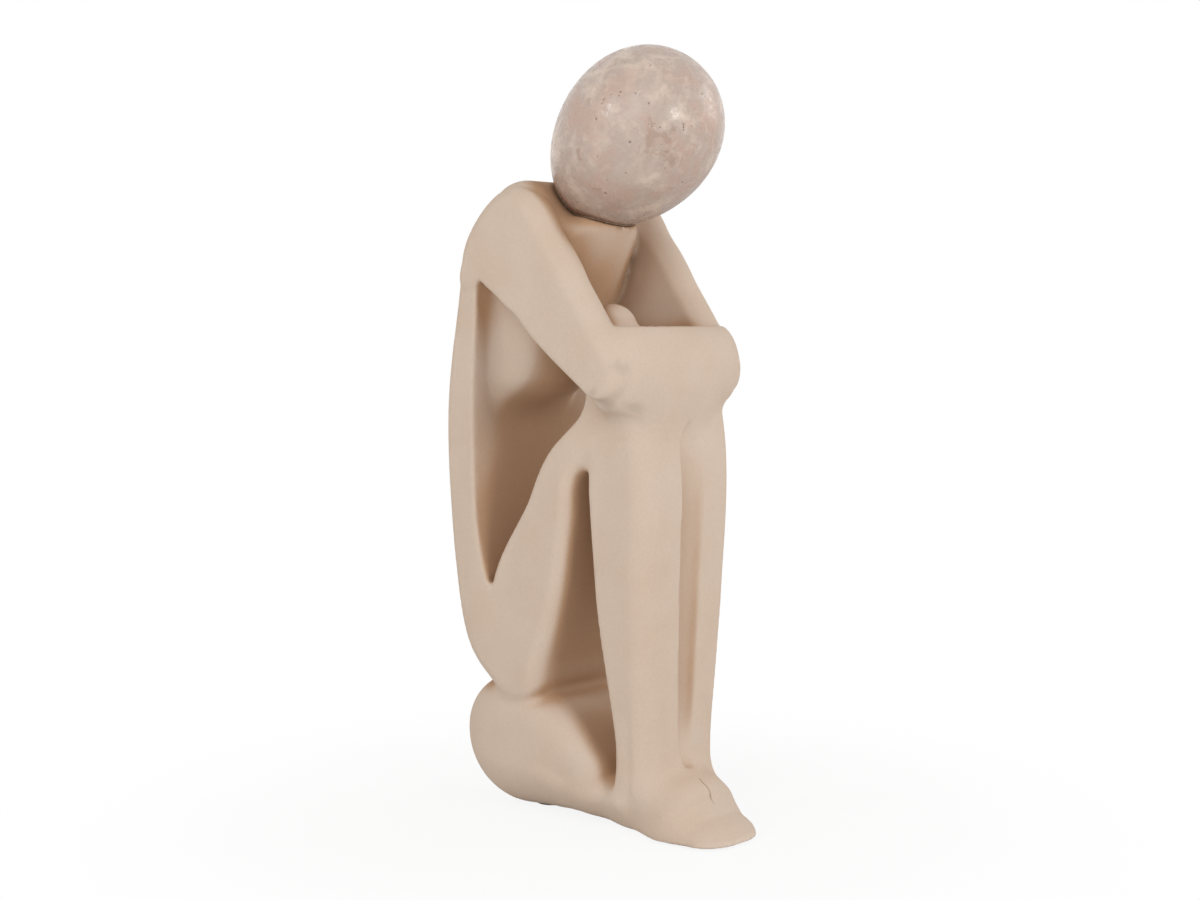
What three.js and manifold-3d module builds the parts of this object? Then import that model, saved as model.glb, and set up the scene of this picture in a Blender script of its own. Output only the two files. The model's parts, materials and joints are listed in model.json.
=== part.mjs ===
// Seated man figurine: a carved stone figure that hugs its knees, with a polished stone egg for a head.
// Millimetres, +Z up. The figure faces -Y and its right side is -X. It stands on z = 0.
import * as THREE from 'three';
import { mergeVertices } from 'three/addons/utils/BufferGeometryUtils.js';
import Module from 'manifold-3d';

// Head: an egg of stone, leaning forward, its blunt end up
const headLength = 77;
const headWidth = 60.6;
const headFullness = 0.11;
const headLeanDegrees = 51;
const headSides = 40;
const headRings = 22;

// Neck: the point where the egg sits, how far round from its lower end, and how the glue and the pin fit
const neckBack = 1.7;
const neckHeight = 232.5;
const seatTurnDegrees = 27;
const glueRadius = 26;
const glueThickness = 0.6;
const fitGap = 0.3;
const pinRadius = 3;
const pinLength = 30;
const pinInHead = 15;
const pinSides = 20;

// Torso: a plate of stone that stands up behind, from the chest down to the hips
const chestBack = 35.5;
const chestHeight = 212;
const chestHalfDepth = 5.3;
const chestHalfWidth = 37.5;
const ribBack = 43.9;
const ribHeight = 160;
const ribHalfDepth = 7.9;
const ribHalfWidth = 34.5;
const waistBack = 46.9;
const waistHeight = 105;
const waistHalfDepth = 8.1;
const waistHalfWidth = 28.5;
const torsoEdge = 3.5;
const windowEdge = 2.6;
const hipBack = 38.2;
const hipHeight = 69.5;
const hipHalfDepth = 12.3;
const hipHalfWidth = 27;
const hipEdge = 7;

// Shoulders and nape: a round bar of stone along the top of the plate
const upperBack = 30;
const upperHeight = 225.5;
const upperHalfDepth = 9.5;
const shoulderBack = 13;
const shoulderHeight = 231.5;
const shoulderHalfDepth = 16.2;
const shoulderEdge = 12;
const napeBack = 21;
const napeHeight = 233.5;
const napeHalfDepth = 15.8;
const napeHalfWidth = 31;

// Prow: the wedge of chest under the head, its ridge running down and back into the torso
const ridgeTopBack = -13;
const ridgeTopHeight = 229;
const ridgeFootBack = 20;
const ridgeFootHeight = 156;
const ridgeRadius = 6;
const flankSlope = 0.85;
const flankTurnHeight = 190;
const flankTurn = 0.02;
const prowTop = neckHeight + 2.5;
const prowTopSlope = 0.35;
const prowHalfWidth = 31;
const prowEdge = 5;
const prowTopBack = 32;
const prowFootBack = 45;
const breastBack = 21;
const breastHeight = 211;
const breastHalfDepth = 13;
const breastHalfWidth = 30;

// Arms: flat-sided, down from the shoulders to the elbows
const armInside = 24.5;
const armInnerEdge = 3;
const armEdge = 12;
const armRidge = 33;
const armInnerDrop = 0.6;
const armHalfWidth = 39;
const armpitBack = 26;
const armpitHeight = 221;
const armpitHalfDepth = 11.5;
const upperArmBack = 3.6;
const upperArmHeight = 215.2;
const upperArmHalfDepth = 18.4;
const armMiddleBack = -10.6;
const armMiddleHeight = 199.5;
const armMiddleHalfDepth = 16.5;
const elbowBack = -32.6;
const elbowHeight = 176.8;
const elbowHalfDepth = 11.3;

// Band: the folded forearms, one soft bar bent round the shins
const bandCentreBack = -30;
const bandHalfWidth = 31;
const bandHalfDepth = 15;
const bandRoundness = 2.4;
const bandSections = 8;
const bandHeight = 178;
const bandHalfHeight = 15;
const bandHalfThickness = 7.4;
const bandPower = 1.7;

// Thighs, up from the hips to the knees
const sitBack = 24;
const sitHeight = 58.5;
const sitHalfDepth = 14;
const sitHalfWidth = 26.5;
const thighBack = 17;
const thighHeight = 88;
const thighHalfDepth = 17.2;
const thighHalfWidth = 26;
const thighMiddleBack = 5.3;
const thighMiddleHeight = 118;
const thighMiddleHalfDepth = 11.8;
const hamBack = -2.5;
const hamHeight = 137;
const hamHalfDepth = 9;
const thighUnderEdge = 7;
const kneeBack = -19;
const kneeHeight = 157;
const kneeHalfDepth = 8;

// Knees, shins and feet
const kneeTopBack = -28;
const kneeTopHeight = 180;
const kneeTopHalfDepth = 14;
const kneeHalfWidth = 24;
const kneecapSide = -12.5;
const kneecapBack = -19;
const kneecapHeight = 190;
const kneecapRadius = 11;
const shinTopHeight = 140;
const shinTopBack = -30;
const shinTopHalfWidth = 24;
const shinTopHalfDepth = 17.5;
const calfHeight = 87;
const calfBack = -31.5;
const calfHalfWidth = 22.6;
const calfHalfDepth = 13.7;
const ankleHeight = 35;
const ankleBack = -33.8;
const ankleHalfWidth = 19.5;
const ankleHalfDepth = 9.1;
const shinEdge = 5;
const heelBack = -31;
const heelHeight = 10;
const heelHalfWidth = 15.5;
const heelHalfDepth = 14;
const instepBack = -46;
const instepHeight = 7;
const instepHalfWidth = 20;
const instepHalfDepth = 17;
const toeBack = -58;
const toeHeight = 2.5;
const toeHalfWidth = 17.5;
const toeHalfDepth = 7.6;
const toeReach = 13.5;
const fluteOffset = 2;
const fluteHalfWidth = 7;
const fluteDepth = 4.2;
const fluteFoot = 30;
const fluteLip = 1.2;

// Seat: a boulder under the hips, round below, that falls away in front towards the heels
const seatFront = -2;
const seatFrontHeight = 18;
const seatFrontHalfDepth = 17;
const seatFrontHalfWidth = 23;
const seatMiddle = 13;
const seatMiddleHeight = 24;
const seatMiddleHalfDepth = 23.8;
const seatBack = 32.5;
const seatHeight = 26.3;
const seatHalfDepth = 27.3;
const seatHalfWidth = 26;
const seatTopEdge = 15;
const seatUnderEdge = 26;

// Felt pads under the seat and the toes
const padThickness = 1;
const seatPadRadius = 6.5;
const seatPadBack = 26;
const toePadRadius = 5;
const toePadBack = -52;
const toePadSpread = 10;
const padSides = 28;

// Roundness of the soft sections, and how softly one form runs into the next
const softPower = 2.4;
const wideBlend = 10;
const limbBlend = 6;
const creaseBlend = 3;
const widthBlend = 20;

// Facets of the carved surface, and how finely each limb is followed
const cellAcross = 4.4;
const cellUp = 6;
const limbSteps = 32;
const surfaceSteps = 3;
const probeReach = 0.1;
const probeSteps = 10;
const weldReach = 1e-4;

const wasm = await Module();
wasm.setup();

const place = (x, y, z) => new THREE.Vector3(x, y, z);
const station = (at, wide, deep, reach = Math.min(wide, deep)) => ({ at, wide, deep, reach });

// A soft section: distance to a superellipsoid of half sizes a, b and c, exact to first order near its skin
const soft = (power) => (u, v, w, a, b, c) => {
  const x = Math.abs(u) / a;
  const y = Math.abs(v) / b;
  const z = Math.abs(w) / c;
  const q = (x ** power + y ** power + z ** power) ** (1 / power);
  const depth = -Math.min(a, b);
  if (q === 0) return depth;
  const rise = power - 1;
  const slope = Math.hypot((x / q) ** rise / a, (y / q) ** rise / b, (z / q) ** rise / c);
  return Math.max((q - 1) / slope, depth);
};

// Two half spaces that meet at an edge of the given radius
function edged(first, second, radius) {
  const a = first + radius;
  const b = second + radius;
  return Math.hypot(Math.max(a, 0), Math.max(b, 0)) + Math.min(Math.max(a, b), 0) - radius;
}

// A limb seen from the side: round brushes drawn along a curve, each with its depth and half width, with the
// roundness of its edges to the left and to the right of its path, and with how steeply its right side falls
// away towards the figure's middle
function sideLimb(stations) {
  const path = new THREE.CatmullRomCurve3(stations.map((s) => s.at));
  const girth = new THREE.CatmullRomCurve3(stations.map((s) => place(s.deep, s.wide, s.drop)));
  const edges = new THREE.CatmullRomCurve3(stations.map((s) => place(s.left, s.right, 0)));
  const brushes = [];
  for (let i = 0; i <= limbSteps; i++) {
    const at = path.getPoint(i / limbSteps);
    const size = girth.getPoint(i / limbSteps);
    const edge = edges.getPoint(i / limbSteps);
    brushes.push({ at, deep: size.x, wide: size.y, drop: size.z, left: edge.x, right: edge.y });
  }
  const reach = new THREE.Box3();
  for (const { at, deep, wide } of brushes) {
    reach.expandByPoint(place(wide, at.y + deep, at.z + deep));
    reach.expandByPoint(place(-wide, at.y - deep, at.z - deep));
  }
  const view = (p) => {
    const seen = { depth: Infinity, wide: 0, edge: 0, drop: 0 };
    for (let i = 0; i < limbSteps; i++) {
      const [from, to] = [brushes[i], brushes[i + 1]];
      const [y, z] = [to.at.y - from.at.y, to.at.z - from.at.z];
      const [v, w] = [p.y - from.at.y, p.z - from.at.z];
      const s = Math.min(1, Math.max(0, (v * y + w * z) / (y * y + z * z)));
      const deep = from.deep + (to.deep - from.deep) * s;
      const depth = Math.hypot(v - s * y, w - s * z) - deep;
      if (depth >= seen.depth) continue;
      const toLeft = (y * w - z * v) / Math.hypot(y, z);
      const left = from.left + (to.left - from.left) * s;
      const right = from.right + (to.right - from.right) * s;
      seen.depth = depth;
      seen.wide = from.wide + (to.wide - from.wide) * s;
      const turned = THREE.MathUtils.smoothstep(toLeft, -deep, deep);
      seen.edge = right + (left - right) * turned;
      seen.drop = (from.drop + (to.drop - from.drop) * s) * (1 - turned);
    }
    return seen;
  };
  return { view, reach };
}

// Two limbs seen from the side run into one another, and so do their widths and edges
function joinSides(first, second, blend) {
  const share = THREE.MathUtils.smoothstep(second.depth - first.depth, -widthBlend, widthBlend);
  return {
    depth: join(first.depth, second.depth, blend),
    wide: THREE.MathUtils.lerp(second.wide, first.wide, share),
    edge: THREE.MathUtils.lerp(second.edge, first.edge, share),
    drop: THREE.MathUtils.lerp(second.drop, first.drop, share),
  };
}

// The solid slab that a side view gives: as wide as its limbs say, with rounded edges
const slab = (side, p) => edged(side.depth, Math.abs(p.x) - side.wide, side.edge);

// A limb: sections along a curve, each as wide along the given side direction as its station says
function limb(stations, side, section) {
  const path = new THREE.CatmullRomCurve3(stations.map((s) => s.at));
  const girth = new THREE.CatmullRomCurve3(stations.map((s) => place(s.wide, s.deep, s.reach)));
  const rings = [];
  for (let i = 0; i <= limbSteps; i++) {
    const t = i / limbSteps;
    const size = girth.getPoint(t);
    rings.push({ at: path.getPoint(t), along: path.getTangent(t), size });
  }
  const reach = new THREE.Box3();
  for (const ring of rings) {
    const most = Math.max(...ring.size.toArray());
    reach.expandByPoint(ring.at.clone().addScalar(most));
    reach.expandByPoint(ring.at.clone().subScalar(most));
  }
  const along = place(0, 0, 0);
  const across = place(0, 0, 0);
  const deep = place(0, 0, 0);
  const off = place(0, 0, 0);
  const leg = place(0, 0, 0);
  const size = place(0, 0, 0);
  const distance = (p) => {
    let best = Infinity;
    let near = 0;
    let part = 0;
    for (let i = 0; i < limbSteps; i++) {
      leg.subVectors(rings[i + 1].at, rings[i].at);
      off.subVectors(p, rings[i].at);
      const s = Math.min(1, Math.max(0, off.dot(leg) / leg.lengthSq()));
      const gap = off.addScaledVector(leg, -s).lengthSq();
      if (gap < best) [best, near, part] = [gap, i, s];
    }
    const [from, to] = [rings[near], rings[near + 1]];
    off.lerpVectors(from.at, to.at, part).subVectors(p, off);
    along.lerpVectors(from.along, to.along, part).normalize();
    across.copy(side).addScaledVector(along, -side.dot(along)).normalize();
    deep.crossVectors(along, across);
    size.lerpVectors(from.size, to.size, part);
    return section(off.dot(across), off.dot(deep), off.dot(along), ...size.toArray());
  };
  return { distance, reach };
}

// Joins that keep a soft hollow of the given width, and a cut with soft edges
function join(first, second, width) {
  const h = Math.max(width - Math.abs(first - second), 0) / width;
  return Math.min(first, second) - h * h * width / 4;
}
const cut = (body, tool, width) => -join(-body, tool, width);

const sideways = place(1, 0, 0);
const upward = place(0, 0, 1);
const middle = (back, height, deep, wide, left, right, drop = 0) =>
  ({ at: place(0, back, height), deep, wide, left, right, drop });

const chest = middle(chestBack, chestHeight, chestHalfDepth, chestHalfWidth, torsoEdge, windowEdge);
const hips = middle(hipBack, hipHeight, hipHalfDepth, hipHalfWidth, hipEdge, windowEdge);
const sit = middle(sitBack, sitHeight, sitHalfDepth, sitHalfWidth, hipEdge, hipEdge);
const kneeTop = middle(kneeTopBack, kneeTopHeight, kneeTopHalfDepth, kneeHalfWidth, shinEdge, shinEdge);

const torso = sideLimb([
  chest,
  middle(ribBack, ribHeight, ribHalfDepth, ribHalfWidth, torsoEdge, windowEdge),
  middle(waistBack, waistHeight, waistHalfDepth, waistHalfWidth, torsoEdge, windowEdge),
  hips,
  sit,
]);

const thighAt = (back, height, deep, wide) => middle(back, height, deep, wide, thighUnderEdge, windowEdge);
const thighs = sideLimb([
  sit,
  thighAt(thighBack, thighHeight, thighHalfDepth, thighHalfWidth),
  thighAt(thighMiddleBack, thighMiddleHeight, thighMiddleHalfDepth, thighHalfWidth),
  thighAt(hamBack, hamHeight, hamHalfDepth, thighHalfWidth),
  thighAt(kneeBack, kneeHeight, kneeHalfDepth, kneeHalfWidth),
  kneeTop,
]);

const shinAt = (back, height, deep, wide) => middle(back, height, deep, wide, windowEdge, shinEdge);
const shins = sideLimb([
  kneeTop,
  shinAt(shinTopBack, shinTopHeight, shinTopHalfDepth, shinTopHalfWidth),
  shinAt(calfBack, calfHeight, calfHalfDepth, calfHalfWidth),
  shinAt(ankleBack, ankleHeight, ankleHalfDepth, ankleHalfWidth),
  shinAt(ankleBack, ankleHalfDepth * 2, ankleHalfDepth, ankleHalfWidth),
]);

const napeAt = (back, height, deep, wide) => middle(back, height, deep, wide, shoulderEdge, shoulderEdge);
const nape = sideLimb([
  napeAt(breastBack, breastHeight, breastHalfDepth, breastHalfWidth),
  napeAt(upperBack, upperHeight, upperHalfDepth, armInside),
  napeAt(napeBack, napeHeight, napeHalfDepth, napeHalfWidth),
]);

const armAt = (back, height, deep, right = armEdge, drop = armInnerDrop) =>
  middle(back, height, deep, armHalfWidth, windowEdge, right, drop);
const upperArm = armAt(upperArmBack, upperArmHeight, upperArmHalfDepth);
const shoulders = sideLimb([
  middle(chestBack, chestHeight, chestHalfDepth, chestHalfWidth, windowEdge, torsoEdge),
  armAt(upperBack, upperHeight, upperHalfDepth, shoulderEdge, 0),
  armAt(shoulderBack, shoulderHeight, shoulderHalfDepth, shoulderEdge),
  upperArm,
]);

const arms = sideLimb([
  armAt(armpitBack, armpitHeight, armpitHalfDepth),
  upperArm,
  armAt(armMiddleBack, armMiddleHeight, armMiddleHalfDepth),
  armAt(elbowBack, elbowHeight, elbowHalfDepth),
]);

const bandStations = [];
for (let n = 0; n <= bandSections; n++) {
  const turn = n / bandSections * Math.PI;
  const x = -Math.sign(Math.cos(turn)) * Math.abs(Math.cos(turn)) ** (2 / bandRoundness) * bandHalfWidth;
  const y = bandCentreBack - Math.sin(turn) ** (2 / bandRoundness) * bandHalfDepth;
  bandStations.push(station(place(x, y, bandHeight), bandHalfHeight, bandHalfThickness));
}
const band = limb(bandStations, upward, soft(bandPower));

const feet = limb([
  station(place(0, heelBack, heelHeight), heelHalfWidth, heelHalfDepth),
  station(place(0, instepBack, instepHeight), instepHalfWidth, instepHalfDepth),
  station(place(0, toeBack, toeHeight), toeHalfWidth, toeHalfDepth, toeReach),
], sideways, soft(softPower));

const fluteAt = (back, height, share) =>
  station(place(fluteOffset, back, height), fluteHalfWidth * share, fluteDepth * share);
const flute = limb([
  fluteAt(kneeTopBack - shinTopHalfDepth, kneeTopHeight, 1),
  fluteAt(shinTopBack - shinTopHalfDepth, shinTopHeight, 1),
  fluteAt(calfBack - calfHalfDepth, calfHeight, 1),
  fluteAt(ankleBack - ankleHalfDepth, fluteFoot, 1 / 2),
], sideways, soft(softPower));

const seatAt = (back, height, deep, wide) => middle(back, height, deep, wide, seatTopEdge, seatUnderEdge);
const seat = sideLimb([
  seatAt(seatFront, seatFrontHeight, seatFrontHalfDepth, seatFrontHalfWidth),
  seatAt(seatMiddle, seatMiddleHeight, seatMiddleHalfDepth, seatHalfWidth),
  seatAt(seatBack, seatHeight, seatHalfDepth, seatHalfWidth),
]);

const forms = [torso, thighs, shins, nape, shoulders, arms, band, feet, seat];

// The legs, hips and plate of the back: one slab, with the flute and a kneecap that stands proud
function lowerFigure(p) {
  const legs = joinSides(thighs.view(p), shins.view(p), limbBlend);
  let stone = slab(joinSides(torso.view(p), legs, creaseBlend), p);
  const fromKneecap = Math.hypot(p.x - kneecapSide, p.y - kneecapBack, p.z - kneecapHeight);
  stone = join(stone, fromKneecap - kneecapRadius, creaseBlend);
  stone = join(stone, feet.distance(p), wideBlend);
  return cut(stone, flute.distance(p), fluteLip);
}

// The chest under the head: behind a leaning ridge, wider the further it is from the ridge
function chestWedge(p) {
  const run = Math.hypot(ridgeFootBack - ridgeTopBack, ridgeTopHeight - ridgeFootHeight);
  const ahead = (ridgeTopBack - p.y) * (ridgeTopHeight - ridgeFootHeight) / run;
  const above = (ridgeTopHeight - p.z) * (ridgeFootBack - ridgeTopBack) / run;
  const aside = Math.hypot(p.x, ridgeRadius) - ridgeRadius;
  const slope = flankSlope + flankTurn * Math.max(flankTurnHeight - p.z, 0);
  const flank = (ahead + above + slope * aside) / Math.hypot(1, slope);
  const top = p.z - prowTop + prowTopSlope * aside;
  const back = THREE.MathUtils.mapLinear(p.z, ridgeTopHeight, ridgeFootHeight, prowTopBack, prowFootBack);
  const side = edged(Math.abs(p.x) - prowHalfWidth, p.y - back, prowEdge);
  return edged(edged(flank, top, ridgeRadius), side, prowEdge);
}

// The arms and shoulders: a slab like the others, but sawn hollow between their inner faces. Their upper side
// falls away from a ridge towards the inside
function armPair(p) {
  const side = joinSides(shoulders.view(p), arms.view(p), creaseBlend);
  const inner = (side.depth + side.drop * (armRidge - Math.abs(p.x))) / Math.hypot(1, side.drop);
  return edged(edged(slab(side, p), inner, armInnerEdge), armInside - Math.abs(p.x), armInnerEdge);
}

// The whole carved figure as one distance: negative inside the stone
function figure(p) {
  const arm = armPair(p);
  const lower = lowerFigure(p);
  const middleOfTrunk = join(join(slab(nape.view(p), p), chestWedge(p), limbBlend), lower, wideBlend);
  const trunk = Math.min(join(middleOfTrunk, arm, creaseBlend), arm);
  return join(join(trunk, band.distance(p), creaseBlend), slab(seat.view(p), p), creaseBlend);
}

// Skin of a distance field: one vertex for each sheet of skin in a cell, then drawn onto the skin
function carve(field, reach) {
  const cell = place(cellAcross, cellAcross, cellUp);
  const low = [];
  const count = [];
  for (const axis of ['x', 'y', 'z']) {
    const first = Math.floor(reach.min[axis] / cell[axis]) - 1;
    low.push(first);
    count.push(Math.ceil(reach.max[axis] / cell[axis]) + 1 - first);
  }
  const corner = (i, j, k) => place((low[0] + i) * cell.x, (low[1] + j) * cell.y, (low[2] + k) * cell.z);
  const index = (i, j, k) => i + (count[0] + 1) * (j + (count[1] + 1) * k);
  const value = new Float64Array(index(count[0], count[1], count[2]) + 1);
  for (let k = 0; k <= count[2]; k++) {
    for (let j = 0; j <= count[1]; j++) {
      for (let i = 0; i <= count[0]; i++) value[index(i, j, k)] = field(corner(i, j, k));
    }
  }

  // The twelve edges of a cell, each with its axis, and the four edges of each of its six faces
  const edges = [];
  for (let axis = 0; axis < 3; axis++) {
    const [b, c] = [(axis + 1) % 3, (axis + 2) % 3];
    for (const [s, t] of [[0, 0], [1, 0], [1, 1], [0, 1]]) {
      const from = [0, 0, 0];
      from[b] = s;
      from[c] = t;
      const to = [...from];
      to[axis] = 1;
      edges.push({ axis, from, to });
    }
  }
  const onFace = (edge, axis, side) => edge.from[axis] === side && edge.to[axis] === side;
  const faces = [];
  for (let axis = 0; axis < 3; axis++) {
    for (const side of [0, 1]) {
      faces.push(edges.map((edge, n) => (onFace(edge, axis, side) ? n : -1)).filter((n) => n >= 0));
    }
  }
  const meet = (first, second) => [edges[first].from, edges[first].to].find((end) =>
    [edges[second].from, edges[second].to].some((other) => other.every((n, axis) => n === end[axis])));

  const points = [];
  const sheets = new Map();
  for (let k = 0; k < count[2]; k++) {
    for (let j = 0; j < count[1]; j++) {
      for (let i = 0; i < count[0]; i++) {
        const at = (o) => value[index(i + o[0], j + o[1], k + o[2])];
        const crossed = edges.map((edge) => (at(edge.from) < 0) !== (at(edge.to) < 0));
        if (!crossed.includes(true)) continue;
        const group = edges.map((edge, n) => n);
        const root = (n) => (group[n] === n ? n : root(group[n]));
        for (const face of faces) {
          const hit = face.filter((n) => crossed[n]);
          if (hit.length === 2) group[root(hit[0])] = root(hit[1]);
          if (hit.length !== 4) continue;
          for (const first of hit) {
            for (const second of hit) {
              const shared = first < second && meet(first, second);
              if (shared && at(shared) < 0) group[root(first)] = root(second);
            }
          }
        }
        const own = new Map();
        const sheetOf = edges.map((edge, n) => {
          if (!crossed[n]) return -1;
          if (!own.has(root(n))) {
            own.set(root(n), points.length);
            points.push({ sum: place(0, 0, 0), hits: 0 });
          }
          const [a, b] = [at(edge.from), at(edge.to)];
          const start = corner(i + edge.from[0], j + edge.from[1], k + edge.from[2]);
          const end = corner(i + edge.to[0], j + edge.to[1], k + edge.to[2]);
          const point = points[own.get(root(n))];
          point.sum.add(start.lerp(end, a / (a - b)));
          point.hits += 1;
          return own.get(root(n));
        });
        sheets.set(index(i, j, k), sheetOf);
      }
    }
  }

  // Each crossed edge of the grid gives one four-sided facet between the four cells round it
  const triangles = [];
  for (let k = 1; k < count[2]; k++) {
    for (let j = 1; j < count[1]; j++) {
      for (let i = 1; i < count[0]; i++) {
        for (let axis = 0; axis < 3; axis++) {
          const end = [i, j, k];
          end[axis] += 1;
          const inside = value[index(i, j, k)] < 0;
          if (inside === value[index(...end)] < 0) continue;
          const [b, c] = [(axis + 1) % 3, (axis + 2) % 3];
          const ring = [[0, 0], [1, 0], [1, 1], [0, 1]].map(([s, t]) => {
            const home = [i, j, k];
            home[b] -= s;
            home[c] -= t;
            const same = (edge) => edge.axis === axis && edge.from[b] === s && edge.from[c] === t;
            return sheets.get(index(...home))[edges.findIndex(same)];
          });
          if (!inside) ring.reverse();
          triangles.push([ring[0], ring[1], ring[2]], [ring[0], ring[2], ring[3]]);
        }
      }
    }
  }

  const skin = points.map((point) => point.sum.divideScalar(point.hits));
  for (const p of skin) {
    for (let n = 0; n < surfaceSteps; n++) {
      const here = field(p);
      const slope = place(
        field(place(p.x + probeReach, p.y, p.z)) - here,
        field(place(p.x, p.y + probeReach, p.z)) - here,
        field(place(p.x, p.y, p.z + probeReach)) - here,
      ).divideScalar(probeReach);
      const most = probeReach * probeSteps;
      const step = THREE.MathUtils.clamp(here / slope.lengthSq(), -most, most);
      p.addScaledVector(slope, -step);
    }
  }
  return { skin, triangles };
}

// Between three.js geometry and solids that can be joined and cut
function solidFrom(geometry) {
  const bare = geometry.clone();
  bare.deleteAttribute('normal');
  bare.deleteAttribute('uv');
  const merged = mergeVertices(bare, weldReach);
  return new wasm.Manifold(new wasm.Mesh({
    numProp: 3,
    vertProperties: new Float32Array(merged.attributes.position.array),
    triVerts: new Uint32Array(merged.index.array),
  }));
}

function geometryFrom(solid) {
  const mesh = solid.getMesh();
  const geometry = new THREE.BufferGeometry();
  geometry.setAttribute('position', new THREE.BufferAttribute(new Float32Array(mesh.vertProperties), 3));
  geometry.setIndex(new THREE.BufferAttribute(new Uint32Array(mesh.triVerts), 1));
  geometry.computeVertexNormals();
  return geometry;
}

function carvedGeometry() {
  const reach = new THREE.Box3();
  for (const form of forms) reach.union(form.reach);
  const { skin, triangles } = carve(figure, reach);
  const geometry = new THREE.BufferGeometry();
  const places = skin.flatMap((p) => [p.x, p.y, p.z]);
  geometry.setAttribute('position', new THREE.Float32BufferAttribute(places, 3));
  geometry.setIndex(triangles.flat());
  return geometry;
}

// The egg about its own middle: an outline point at a turn from the lower end, grown by a margin
function eggPoint(turn, margin) {
  const radius = headWidth / 2 * Math.sin(turn) * (1 - headFullness * Math.cos(turn));
  return new THREE.Vector2(radius + margin * Math.sin(turn), -(headLength / 2 + margin) * Math.cos(turn));
}

// Where the egg sits on the neck, and the pin's line from there towards the egg's middle
const lean = THREE.MathUtils.degToRad(headLeanDegrees);
const seatPoint = eggPoint(THREE.MathUtils.degToRad(seatTurnDegrees), 0);
const seatOffset = place(0, -seatPoint.x, seatPoint.y).applyAxisAngle(sideways, lean);
const headMiddle = place(0, neckBack, neckHeight).sub(seatOffset);
const pinLean = Math.atan2(seatOffset.y, -seatOffset.z);

const inHead = (geometry) => geometry.rotateX(lean).translate(...headMiddle.toArray());
const onPin = (geometry) => geometry.rotateX(Math.PI / 2 + pinLean).translate(0, neckBack, neckHeight);

function eggGeometry(margin) {
  const outline = [];
  for (let n = 0; n <= headRings; n++) outline.push(eggPoint(n / headRings * Math.PI, margin));
  outline[0].x = 0;
  outline[headRings].x = 0;
  return inHead(new THREE.LatheGeometry(outline, headSides).rotateX(Math.PI / 2));
}

// A round bar on the pin's line that reaches a given way up into the head and down into the body
function barGeometry(radius, up, down) {
  const bar = new THREE.CylinderGeometry(radius, radius, up + down, pinSides);
  return onPin(bar.translate(0, (up - down) / 2, 0));
}

const paleStone = new THREE.MeshStandardMaterial({ color: 0xd3bfab, roughness: 0.85, metalness: 0 });
const polishedStone = new THREE.MeshStandardMaterial({ color: 0xc9b2a4, roughness: 0.3, metalness: 0 });
const steel = new THREE.MeshStandardMaterial({ color: 0x9a9a98, roughness: 0.4, metalness: 1 });
const glue = new THREE.MeshStandardMaterial({ color: 0x8f8273, roughness: 0.5, metalness: 0 });
const felt = new THREE.MeshStandardMaterial({ color: 0x6f655b, roughness: 0.95, metalness: 0 });

function piece(name, geometry, material) {
  const mesh = new THREE.Mesh(geometry, material);
  mesh.name = name;
  return mesh;
}

const pinBelow = pinLength - pinInHead;
const pinHole = solidFrom(barGeometry(pinRadius + fitGap, pinInHead + fitGap, pinBelow + fitGap));

// A box that reaches well past another on every side, but for the sides that are then set
function reachBox(inner, set) {
  const box = inner.clone().expandByScalar(creaseBlend);
  set(box);
  const size = box.getSize(place(0, 0, 0));
  return new THREE.BoxGeometry(...size.toArray()).translate(...box.getCenter(place(0, 0, 0)).toArray());
}

// The carved form, sawn flat below so that the pads lift it
const roughGeometry = carvedGeometry();
const rough = new THREE.Box3().setFromBufferAttribute(roughGeometry.getAttribute('position'));
const sawn = reachBox(rough, (box) => box.max.setZ(padThickness));
const carved = solidFrom(roughGeometry).subtract(solidFrom(sawn));

// The stone body, dished for the egg and drilled for the pin
const stoneBody = carved.subtract(solidFrom(eggGeometry(glueThickness + fitGap * 2))).subtract(pinHole);

// The glue: it fills the dish out to the skin of the neck, between the arms, with the pin through its middle
const betweenArms = reachBox(rough, (box) => {
  box.min.setX(fitGap - armInside);
  box.max.setX(armInside - fitGap);
});
const glueBed = solidFrom(eggGeometry(glueThickness + fitGap))
  .subtract(solidFrom(eggGeometry(fitGap)))
  .intersect(carved)
  .intersect(solidFrom(betweenArms))
  .intersect(solidFrom(barGeometry(glueRadius, glueRadius, glueRadius)))
  .subtract(solidFrom(barGeometry(pinRadius + fitGap, glueRadius, glueRadius)));

function padAt(x, y, radius) {
  return new THREE.CylinderGeometry(radius, radius, padThickness, padSides)
    .rotateX(Math.PI / 2)
    .translate(x, y, padThickness / 2);
}

const figurine = new THREE.Group();
figurine.add(piece('stone_body', geometryFrom(stoneBody), paleStone));

const headSolid = solidFrom(eggGeometry(0)).subtract(pinHole);
figurine.add(piece('stone_head', geometryFrom(headSolid), polishedStone));
figurine.add(piece('neck_pin', barGeometry(pinRadius, pinInHead, pinLength - pinInHead), steel));
figurine.add(piece('glue_bed', geometryFrom(glueBed), glue));
figurine.add(piece('felt_pad_seat', padAt(0, seatPadBack, seatPadRadius), felt));
figurine.add(piece('felt_pad_right_toes', padAt(-toePadSpread, toePadBack, toePadRadius), felt));
figurine.add(piece('felt_pad_left_toes', padAt(toePadSpread, toePadBack, toePadRadius), felt));

// Stand the figurine so that the middle of its bounding box is over the origin
const bounds = new THREE.Box3().setFromObject(figurine);
const centre = bounds.getCenter(place(0, 0, 0));
figurine.position.set(-centre.x, -centre.y, 0);

const part = new THREE.Group();
part.add(figurine);

export default part;
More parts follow.
